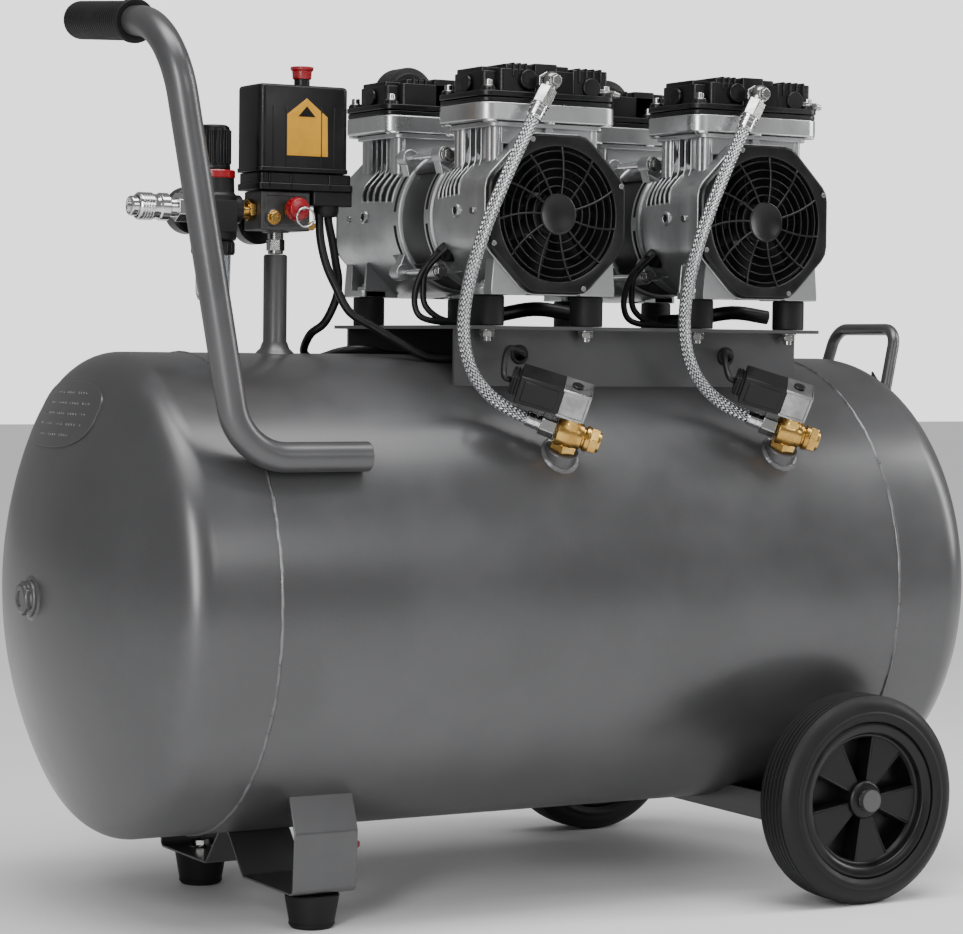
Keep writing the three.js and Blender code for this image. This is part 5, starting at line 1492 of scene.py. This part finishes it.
# ------------------------------------------------------------------ switch and air line
class COMPRESSOR_OT_switch(PieceOperator, bpy.types.Operator):
    """Riser, manifold, pressure switch with its plain label, red knob and safety valve"""

    bl_idname = "compressor.switch"
    bl_label = "Pressure switch"

    def build(self):
        riser = mm_x(middle("riser_pipe"))
        top = TANK_Z + TANK_R
        bm = bmesh.new()
        lathe(bm, [(0, top - 2), (17, top - 1), (15, top + 1.5), (12.4, top + 4), (11, top + 8),
                   (10, top + 10), (10, 547.5), (9, 548.8), (0, 548.8)], "Z", 48)
        make("riser_tube", bm, "paint", placed(riser), stands_for=["riser_pipe"],
             bevel=0, angle=40)
        bm = bmesh.new()
        rod(bm, (riser, 0, 549.3), (riser, 0, 569), 6.5, sides=32)
        rod(bm, (riser, 0, 552), (riser, 0, 561.5), 7.9, sides=6)
        for k in range(4):
            rod(bm, (riser, 0, 562.4 + k * 1.5), (riser, 0, 563.2 + k * 1.5), 7.1, sides=32)
        make("riser_union", bm, "zinc", bevel=0.5)
        low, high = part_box("manifold")
        x0, x1 = mm_x(low), mm_x(high)
        bm = bmesh.new()
        block(bm, (x0, -16.9, 568.4), (x1, 16.9, 601.4))
        block(bm, (x0 + 4, -17.4, 572), (x1 - 4, 17.4, 598))
        rod(bm, (riser, 0, 567), (riser, 0, 570), 12, sides=36)
        rod(bm, (-222, -16, 579), (-222, -19.5, 579), 7.5, sides=36)
        make("manifold_block", bm, "dark_casting", stands_for=["manifold"],
             bevel=1.4, rounding=3)
        bm = bmesh.new()
        nut(bm, (-222, -19, 579), (0, -1, 0), 9, 3.4, washer=6.2)
        rod(bm, (-186, -17, 573), (-186, 8, 573), 3.8, sides=24)
        make("manifold_plugs", bm, "brass", bevel=0.4)
        self.housing()
        self.safety()

    def housing(self):
        """Tray, cable glands, cover and knob of the switch."""
        low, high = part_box("switch_cover")
        x0, x1 = mm_x(low), mm_x(high)
        z0, z1 = low.z / MM, high.z / MM
        half = high.y / MM
        base_lo, base_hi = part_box("switch_base")
        b0, b1 = mm_x(base_lo), mm_x(base_hi)
        bm = bmesh.new()
        plate_z(bm, b0, b1 - 1, -23, 23, z0 - 15, z0 - 9, 4)
        plate_z(bm, b0 + 1.5, b1 - 2.5, -21.8, 21.8, z0 - 9.5, z0 - 0.3, 4)
        plate_z(bm, -185.8, b1, -19, 13, z0 - 27, z0 - 14.5, 3)
        for x in (-228, -208, -172):
            block(bm, (x - 1.2, -23, z0 - 14), (x + 1.2, 23, z0 - 1))
        make("switch_tray", bm, "plastic", stands_for=["switch_base"], bevel=0.8)
        bm = bmesh.new()
        gx = b1 - 20
        lathe(bm, [(0, z0 - 25.5), (10.8, z0 - 25.5), (10.8, z0 - 31), (9.4, z0 - 35.6), (0, z0 - 35.6)],
              "Z", 12, (gx, -8, 0))
        lathe(bm, [(0, z0 - 25), (9.6, z0 - 25), (9.6, z0 - 29), (0, z0 - 29)], "Z", 40, (gx, -8, 0))
        lathe(bm, [(0, z0 - 26), (7, z0 - 26), (7, z0 - 31), (5.6, z0 - 32), (0, z0 - 32)],
              "Z", 12, (b1 - 11, 6, 0))
        make("cable_glands", bm, "plastic_matt", bevel=0.6)
        bm = bmesh.new()
        plate_z(bm, x0 - 1.2, x1 + 1.2, -half - 1.2, half + 1.2, z0 + 0.2, z1, 6)
        top_edges = [e for e in bm.edges if all(v.co.z > z1 - 1 for v in e.verts)]
        bmesh.ops.bevel(bm, geom=top_edges, offset=3.2, segments=5, profile=0.5, affect="EDGES", material=-1)
        plate_z(bm, x0 - 2, x1 + 2, -half - 2, half + 2, z0 + 0.3, z0 + 4, 6)
        for x in (x0 + 11, x0 + 23, x1 - 25, x1 - 13):
            block(bm, (x - 0.7, -half - 1.8, z0 + 4), (x + 0.7, -half + 2, z1 - 18))
        make("switch_shell", bm, "plastic", stands_for=["switch_cover"],
             bevel=0.5, angle=30)
        self.label((x0 + x1) / 2 + 1.5, -half - 1.2)
        knob = middle("switch_knob")
        kx, ky = mm_x(knob), knob.y / MM
        bm = bmesh.new()
        lathe(bm, [(0, z1 - 9), (6.6, z1 - 9), (6.6, z1 + 5.6), (0, z1 + 5.6)], "Z", 40, (kx, ky, 0))
        make("knob_collar", bm, "plastic", body="switch_button", bevel=0.5)
        bm = bmesh.new()
        profile = [(0, z1 + 5.5), (7.6, z1 + 5.5), (8, z1 + 6.4), (8.3, z1 + 12), (9.6, z1 + 13.4),
                   (9.9, z1 + 15.2), (9.2, z1 + 16), (6, z1 + 15.6), (0, z1 + 15.4)]
        lathe(bm, profile, "Z", 48, (kx, ky, 0))
        make("knob", bm, "red", body="switch_button", stands_for=["switch_knob"],
             bevel=0.3)

    def label(self, cx, y):
        """A plain yellow house-shaped label with a dark triangle and frame."""
        def outline(grow, depth):
            points = ((-19 - grow, 631 - grow), (20 + grow, 631 - grow), (19.4 + grow, 664 + grow * 0.4),
                      (0, 679 + grow * 1.2), (-19.4 - grow, 664 + grow * 0.4))
            return [(cx + x, y - depth, z) for x, z in points]
        bm = bmesh.new()
        prism(bm, outline(0, 0.35), (0, 0.9, 0))
        prism(bm, outline(-1.6, 0.5), (0, 0.9, 0))
        make("label_plate", bm, "label", bevel=0.15)
        bm = bmesh.new()
        prism(bm, [(cx - 8, y - 0.7, 663.6), (cx + 8, y - 0.7, 663.6), (cx, y - 0.7, 672.4)], (0, 0.4, 0))
        make("label_triangle", bm, "shade_and_print", bevel=0)

    def safety(self):
        """Safety valve with its fluted cap, pin and pull ring."""
        c = middle("safety_valve")
        x, z = mm_x(c), c.z / MM
        face = -17.3
        bm = bmesh.new()
        rod(bm, (x, face + 4, z), (x, face - 5, z), 5, sides=32)
        rod(bm, (x, face - 0.2, z), (x, face - 4.6, z), 8, sides=6)
        rod(bm, (x, face - 4, z), (x, face - 9, z), 7, sides=36)
        make("safety_body", bm, "brass", bevel=0.5)
        bm = bmesh.new()
        lathe(bm, [(2.1, face - 8.6), (9.2, face - 8.6), (9.9, face - 9.6), (9.9, face - 16),
                   (8.6, face - 18.6), (5, face - 19.6), (2.1, face - 19.6)], "Y", 44, (x, 0, z),
              closed=True)
        for k in range(14):
            a = 2 * math.pi * k / 14
            p = Vector((x + 9.6 * math.cos(a), face - 9.6, z + 9.6 * math.sin(a)))
            rod(bm, p, p + Vector((0, -6, 0)), 0.9, sides=8)
        make("safety_cap", bm, "red", stands_for=["safety_valve"], bevel=0.3)
        low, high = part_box("safety_ring")
        y = low.y / MM
        bm = bmesh.new()
        rod(bm, (x, face - 13, z), (x, y + 0.6, z), 1.5, sides=20)
        ring_y = (low.y + high.y) / 2 / MM - 5.2
        ring_r = 7.9
        made = []
        for k in range(49):
            a = 2 * math.pi * k / 48
            made.append((x + 2 + ring_r * math.sin(a), ring_y, z - 7 + ring_r * math.cos(a)))
        sweep(bm, made, 0.9, 12, caps=False)
        bmesh.ops.remove_doubles(bm, verts=bm.verts, dist=0.02)
        make("safety_pull_ring", bm, "chrome", body="safety_pull", stands_for=["safety_ring"],
             bevel=0)


class COMPRESSOR_OT_regulator(PieceOperator, bpy.types.Operator):
    """Filter regulator with its bowl and knob, two gauges and the hose coupler"""

    bl_idname = "compressor.regulator"
    bl_label = "Regulator"

    def build(self):
        rx = mm_x(middle("regulator_knob"))
        air = 585.5
        bm = bmesh.new()
        lathe(bm, [(0, 559), (18, 559), (19.4, 560.5), (19.4, 596), (17.6, 598.5), (17.2, 611), (0, 611)],
              "Z", 56, (rx, 0, 0))
        rod(bm, (rx - 26, 0, air), (rx + 23, 0, air), 12, sides=40)
        block(bm, (rx - 13, -19.8, 566), (rx + 13, 19.8, 592))
        rod(bm, (rx, 19, air), (rx, 27, air), 8, sides=36)
        lathe(bm, [(0, 547), (17.2, 547), (17.9, 548.2), (17.9, 557.6), (17, 558.8), (0, 558.8)],
              "Z", 56, (rx, 0, 0))
        for k in range(20):
            a = 2 * math.pi * k / 20
            p = Vector((rx + 17.6 * math.cos(a), 17.6 * math.sin(a), 548.6))
            rod(bm, p, p + Vector((0, 0, 8.6)), 0.9, sides=8)
        make("regulator_casting", bm, "black_metal", stands_for=["regulator_body"],
             bevel=0.7)
        bm = bmesh.new()
        lathe(bm, [(0, 610.6), (17.4, 610.6), (18, 611.4), (18, 616.4), (17.4, 617.2), (0, 617.2)],
              "Z", 56, (rx, 0, 0))
        make("regulator_band", bm, "red", bevel=0)
        self.knob(rx)
        self.bowl(rx)
        bm = bmesh.new()
        rod(bm, (rx + 22, 0, air), (-226, 0, air), 6.2, sides=32)
        rod(bm, (-238.5, 0, air), (-233.2, 0, air), 9.4, sides=6)
        rod(bm, (-247, 0, air), (-243.4, 0, air), 8.6, sides=36)
        make("air_nipple", bm, "brass", bevel=0.6)
        self.coupler(rx, air)
        self.gauge("regulator_gauge", rx - 2, air, 27, 20)
        self.gauge("tank_gauge", -214, 578, 17, 20)

    def knob(self, rx):
        """Fluted knob over the neck of the regulator."""
        z0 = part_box("regulator_knob")[0].z / MM
        z1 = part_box("regulator_knob")[1].z / MM
        bm = bmesh.new()
        lathe(bm, [(6.5, z0), (13.4, z0), (14, z0 + 1), (14, z0 + 3.6), (13.6, z0 + 4.4), (13.6, z1 - 4),
                   (12.6, z1 - 1.4), (10.6, z1 - 0.2), (0, z1 - 0.2), (0, z0 + 23), (6.5, z0 + 23)],
              "Z", 64, (rx, 0, 0))
        for k in range(28):
            a = 2 * math.pi * k / 28
            p = Vector((rx + 13.7 * math.cos(a), 13.7 * math.sin(a), z0 + 5))
            rod(bm, p, p + Vector((0, 0, z1 - z0 - 9.5)), 1.1, sides=8)
        make("regulator_dial_knob", bm, "plastic", body="regulator_adjuster", stands_for=["regulator_knob"],
             bevel=0.3)

    def bowl(self, rx):
        """Clear bowl with its drain and the filter inside."""
        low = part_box("filter_bowl")[0].z / MM
        bm = bmesh.new()
        lathe(bm, [(0, low + 1), (8, low + 1.4), (12.4, low + 4), (14.2, low + 9), (14.9, 547.6), (13, 547.6),
                   (12.3, low + 10), (10.8, low + 6.6), (7, low + 4), (0, low + 3.4)], "Z", 56, (rx, 0, 0))
        make("bowl_shell", bm, "clear", stands_for=["filter_bowl"], bevel=0)
        bm = bmesh.new()
        lathe(bm, [(0, low), (3.6, low), (4, low + 0.6), (4, low + 5), (5.6, low + 5.6), (5.6, low + 8),
                   (0, low + 8)], "Z", 32, (rx, 0, 0))
        make("bowl_drain", bm, "plastic", bevel=0.3)
        bm = bmesh.new()
        rod(bm, (rx, 0, 524), (rx, 0, 547), 5, sides=32)
        rod(bm, (rx, 0, 522), (rx, 0, 525), 8, 7, sides=32)
        make("filter_core", bm, "dial", bevel=0.4)

    def coupler(self, rx, air):
        """Hose coupler and its grooved sliding sleeve."""
        mouth = rx - 25.7
        end = mm_x(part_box("coupler_body")[0])
        bm = bmesh.new()
        rod(bm, (mouth + 8, 0, air), (mouth - 1, 0, air), 7.4, sides=36)
        rod(bm, (mouth - 0.4, 0, air), (mouth - 9, 0, air), 12, sides=6)
        lathe(bm, [(5.4, mouth - 12), (8.3, mouth - 8), (8.3, end + 1.2), (7.4, end), (5.8, end),
                   (5.4, end + 0.8)], "X", 48, (0, 0, air), closed=True)
        make("coupler_core", bm, "chrome", stands_for=["coupler_body"], bevel=0.5)
        low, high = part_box("coupler_sleeve")
        s0, s1 = mm_x(low), mm_x(high)
        profile = [(8.9, s0), (10.2, s0), (11.3, s0 + 1.4)]
        x = s0 + 2
        while x < s0 + 12:
            profile += [(11.5, x), (11.5, x + 1), (10.9, x + 1.4), (10.9, x + 2)]
            x += 2.4
        profile += [(10.3, x + 1), (10.3, x + 4.4), (11.5, x + 6), (11.5, s1 - 0.8), (10.8, s1), (8.9, s1)]
        bm = bmesh.new()
        lathe(bm, profile, "X", 56, (0, 0, air), closed=True)
        make("coupler_collar", bm, "chrome", body="coupler_lock", stands_for=["coupler_sleeve"],
             bevel=0.15)

    def gauge(self, name, x, z, y0, radius):
        """A round gauge that faces the rear, with ticks and a needle."""
        where = placed(x, 0, z)
        bm = bmesh.new()
        rod(bm, (0, y0 - 4, 0), (0, y0 + 8, 0), 5, sides=28)
        rod(bm, (0, y0, 0), (0, y0 + 5, 0), 7.4, sides=6)
        make(name + "_stem", bm, "brass", where, bevel=0.4)
        y1 = y0 + 8
        bm = bmesh.new()
        lathe(bm, [(0, y1), (radius - 2, y1), (radius, y1 + 2), (radius, y1 + 17), (radius - 0.6, y1 + 18),
                   (radius - 2, y1 + 18), (radius - 2.4, y1 + 15.5), (0, y1 + 15.5)], "Y", 64)
        make(name + "_case", bm, "plastic", where, bevel=0.2)
        bm = bmesh.new()
        rod(bm, (0, y1 + 15.4, 0), (0, y1 + 15.9, 0), radius - 2.6, sides=64)
        make(name + "_dial", bm, "dial", where, bevel=0)
        bm = bmesh.new()
        for k in range(25):
            a = math.radians(-135 + 270 * k / 24)
            reach = 3.4 if k % 4 == 0 else 1.8
            r = radius - 4
            verts = block(bm, (-0.3, y1 + 15.8, r - reach), (0.3, y1 + 16.1, r))
            bmesh.ops.rotate(bm, verts=verts, cent=(0, 0, 0), matrix=Matrix.Rotation(a, 3, "Y"))
        verts = block(bm, (-0.5, y1 + 16.1, -4), (0.5, y1 + 16.5, radius - 6))
        bmesh.ops.rotate(bm, verts=verts, cent=(0, 0, 0), matrix=Matrix.Rotation(math.radians(-135), 3, "Y"))
        rod(bm, (0, y1 + 16, 0), (0, y1 + 17, 0), 1.8, sides=24)
        make(name + "_marks", bm, "shade_and_print", where, bevel=0)


# ------------------------------------------------------------------ leads, drain
def on_tank(y, lift=4.55):
    """Height at which a lead lies on the tank."""
    return TANK_Z + math.sqrt((TANK_R + lift) ** 2 - y**2)


class COMPRESSOR_OT_leads(PieceOperator, bpy.types.Operator):
    """Motor leads from the pressure switch, and the short leads into each motor"""

    bl_idname = "compressor.leads"
    bl_label = "Motor leads"

    def build(self):
        x1 = mm_x(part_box("switch_base")[1]) - 1
        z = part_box("front_lead")[1].z / MM
        p0 = mm_x(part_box("motor_platform")[0])
        x = x1 - 26
        front = [(x, -10, z + 3), (x, -10, z - 3), (x + 1, -11, z - 20), (x + 5, -14, z - 40),
                 (x + 12, -18, z - 58), (x + 22, -24, z - 79), (p0 - 41, -32, z - 91),
                 (p0 - 24, -40, 479), (p0 + 2, -48, on_tank(48)), (p0 + 27, -54, on_tank(54)),
                 (p0 + 60, -56, on_tank(56))]
        x = x1 - 14
        rear = [(x, -3, z + 3), (x, -3, z - 3), (x + 6, 1, z - 20), (x + 11, 4, z - 38), (x + 15, 7, z - 52),
                (x + 15, 11, z - 68), (x + 8, 18, z - 88), (x - 1, 28, 482), (x + 2, 46, on_tank(46) + 2),
                (x + 20, 60, on_tank(60)), (x + 42, 55, on_tank(55) + 5), (p0 - 8, 47, on_tank(47) + 5),
                (p0 + 20, 46, on_tank(46)), (p0 + 60, 46, on_tank(46))]
        for name, points in (("front_lead", front), ("rear_lead", rear)):
            bm = bmesh.new()
            sweep(bm, smooth_points(points, 8), 3.6, 18)
            make(name + "_sheath", bm, "sheath", stands_for=[name], bevel=0)
        for i in UNITS:
            c = PUMP_X[i]
            s = SHAFT_Z
            bm = bmesh.new()
            for k, shift in enumerate((0, 8)):
                points = [(c - 52, -46 - shift, s - 26), (c - 60, -46 - shift, s - 29),
                          (c - 74 + k * 3, -42, s - 46), (c - 80 + k * 7, -40, s - 62),
                          (c - 82 + k * 10, -42, s - 76), (c - 78 + k * 16, -46, s - 86),
                          (c - 62 + k * 14, -50, PLATE_TOP + 3), (c - 36 + k * 10, -52, PLATE_TOP + 3)]
                sweep(bm, smooth_points(points, 8), 2.7, 16)
            make(f"motor_{i}_leads", bm, "sheath", bevel=0)
            bm = bmesh.new()
            rod(bm, (c - 55, -50, s - 27), (c - 63, -50, s - 32), 6.4, 5, sides=28)
            make(f"motor_{i}_grommet", bm, "rubber", bevel=0.5)


class COMPRESSOR_OT_drain(PieceOperator, bpy.types.Operator):
    """Drain cock under the tank"""

    bl_idname = "compressor.drain"
    bl_label = "Drain cock"

    def build(self):
        x = mm_x(middle("drain_valve"))
        z = TANK_Z - TANK_R
        bm = bmesh.new()
        rod(bm, (x, 0, z + 2), (x, 0, z - 10), 7.6, sides=32)
        rod(bm, (x, 0, z - 1.8), (x, 0, z - 10.6), 11.4, sides=6)
        lathe(bm, [(0, z - 10), (8, z - 10), (9, z - 12), (9, z - 26), (7.6, z - 28), (0, z - 28)],
              "Z", 40, (x, 0, 0))
        lathe(bm, [(0, z - 27), (4.2, z - 27), (5, z - 30), (4.2, z - 31), (5, z - 34), (4.2, z - 35),
                   (4.6, z - 37.6), (0, z - 38)], "Z", 32, (x, 0, 0))
        make("drain_body", bm, "brass", stands_for=["drain_valve"], bevel=0.4)
        z -= 20
        bm = bmesh.new()
        rod(bm, (x, -2, z), (x, -13.4, z), 2.9, sides=24)
        prism(bm, [(x - 6, -11.5, z - 6), (x + 24, -11.5, z - 5), (x + 29, -11.5, z - 2),
                   (x + 29, -11.5, z + 2), (x + 24, -11.5, z + 5), (x - 6, -11.5, z + 6)], (0, -2.4, 0))
        make("drain_handle", bm, "red", body="drain_lever", stands_for=["drain_tap"],
             bevel=0.7)


# ------------------------------------------------------------------ stage
CAMERA_PLACE = (-1279.88, -2230.97, 471.43)
CAMERA_TURN, CAMERA_TILT, CAMERA_ROLL = -29.657, -2.311, 0.649
LENS = 109.36


class COMPRESSOR_OT_stage(PieceOperator, bpy.types.Operator):
    """Pale floor, soft lights and the camera"""

    bl_idname = "compressor.stage"
    bl_label = "Stage"

    def build(self):
        bm = bmesh.new()
        bmesh.ops.create_grid(bm, x_segments=1, y_segments=1, size=14)
        mesh = bpy.data.meshes.new("floor")
        bm.to_mesh(mesh)
        bm.free()
        mesh.materials.append(look("floor"))
        floor = bpy.data.objects.new("floor", mesh)
        bpy.context.scene.collection.objects.link(floor)
        world = bpy.data.worlds.new("Studio")
        world.use_nodes = True
        sky = world.node_tree.nodes["Background"]
        sky.inputs["Color"].default_value = (1, 1, 1, 1)
        sky.inputs["Strength"].default_value = 0.26
        plain = world.node_tree.nodes.new("ShaderNodeBackground")
        plain.inputs["Strength"].default_value = 2.4
        rays = world.node_tree.nodes.new("ShaderNodeLightPath")
        choose = world.node_tree.nodes.new("ShaderNodeMixShader")
        out = world.node_tree.nodes["World Output"]
        world.node_tree.links.new(rays.outputs["Is Camera Ray"], choose.inputs["Fac"])
        world.node_tree.links.new(sky.outputs["Background"], choose.inputs[1])
        world.node_tree.links.new(plain.outputs["Background"], choose.inputs[2])
        world.node_tree.links.new(choose.outputs["Shader"], out.inputs["Surface"])
        bpy.context.scene.world = world
        sun = bpy.data.lights.new("overhead", "SUN")
        sun.energy = 1.5
        sun.angle = math.radians(50)
        overhead = bpy.data.objects.new("overhead", sun)
        overhead.rotation_euler = (math.radians(12), math.radians(-8), 0)
        bpy.context.scene.collection.objects.link(overhead)
        self.light("key", (-1.75, -1.7, 0.95), (-0.2, 0, 0.35), 0.45, 1.5, 30)
        self.light("top", (0.0, -0.5, 2.2), (0.05, 0, 0.4), 1.9, 0.7, 24)
        self.light("right", (1.9, -0.7, 1.2), (0.2, 0, 0.4), 0.4, 1.5, 20)
        self.light("fill", (0.6, -3.0, 1.6), (0, 0, 0.45), 1.2, 0.9, 12)
        self.camera()

    def light(self, name, where, target, wide, tall, power):
        lamp = bpy.data.lights.new(name, "AREA")
        lamp.shape = "RECTANGLE"
        lamp.size = wide
        lamp.size_y = tall
        lamp.energy = power
        holder = bpy.data.objects.new(name, lamp)
        bpy.context.scene.collection.objects.link(holder)
        holder.location = where
        holder.rotation_euler = (Vector(target) - Vector(where)).to_track_quat("-Z", "Y").to_euler()

    def camera(self):
        turn, tilt, roll = (math.radians(a) for a in (CAMERA_TURN, CAMERA_TILT, CAMERA_ROLL))
        forward = Vector((-math.sin(turn) * math.cos(tilt), math.cos(turn) * math.cos(tilt), math.sin(tilt)))
        level = Vector((math.cos(turn), math.sin(turn), 0))
        upright = level.cross(forward)
        right = level * math.cos(roll) + upright * math.sin(roll)
        up = upright * math.cos(roll) - level * math.sin(roll)
        lens = bpy.data.cameras.new("camera")
        lens.lens = LENS
        lens.sensor_width = 36
        lens.clip_start = 0.05
        lens.clip_end = 60
        camera = bpy.data.objects.new("camera", lens)
        bpy.context.scene.collection.objects.link(camera)
        basis = Matrix((right, up, -forward)).transposed().to_4x4()
        camera.matrix_world = Matrix.Translation(at(*CAMERA_PLACE)) @ basis
        bpy.context.scene.camera = camera


# ------------------------------------------------------------------ panel and registration
OPERATORS = (
    COMPRESSOR_OT_stage, COMPRESSOR_OT_tank, COMPRESSOR_OT_push_handle, COMPRESSOR_OT_carry_handle,
    COMPRESSOR_OT_feet, COMPRESSOR_OT_wheels, COMPRESSOR_OT_platform, COMPRESSOR_OT_crankcases,
    COMPRESSOR_OT_fans, COMPRESSOR_OT_heads, COMPRESSOR_OT_hoses, COMPRESSOR_OT_valves,
    COMPRESSOR_OT_switch, COMPRESSOR_OT_regulator, COMPRESSOR_OT_leads, COMPRESSOR_OT_drain,
)


class VIEW3D_PT_compressor(bpy.types.Panel):
    """Lists the settings and every piece of the compressor"""

    bl_label = "Compressor"
    bl_idname = "VIEW3D_PT_compressor"
    bl_space_type = "VIEW_3D"
    bl_region_type = "UI"
    bl_category = "Compressor"

    def draw(self, context):
        for name in CompressorSettings.__annotations__:
            self.layout.prop(context.scene.compressor, name)
        for operator in OPERATORS:
            self.layout.operator(operator.bl_idname)


CLASSES = (CompressorSettings, *OPERATORS, VIEW3D_PT_compressor)


def register():
    for made in CLASSES:
        bpy.utils.register_class(made)
    bpy.types.Scene.compressor = bpy.props.PointerProperty(type=CompressorSettings)


def unregister():
    del bpy.types.Scene.compressor
    for made in reversed(CLASSES):
        bpy.utils.unregister_class(made)


def main():
    register()
    for operator in OPERATORS:
        group, name = operator.bl_idname.split(".")
        getattr(getattr(bpy.ops, group), name)()


if __name__ == "__main__":
    main()
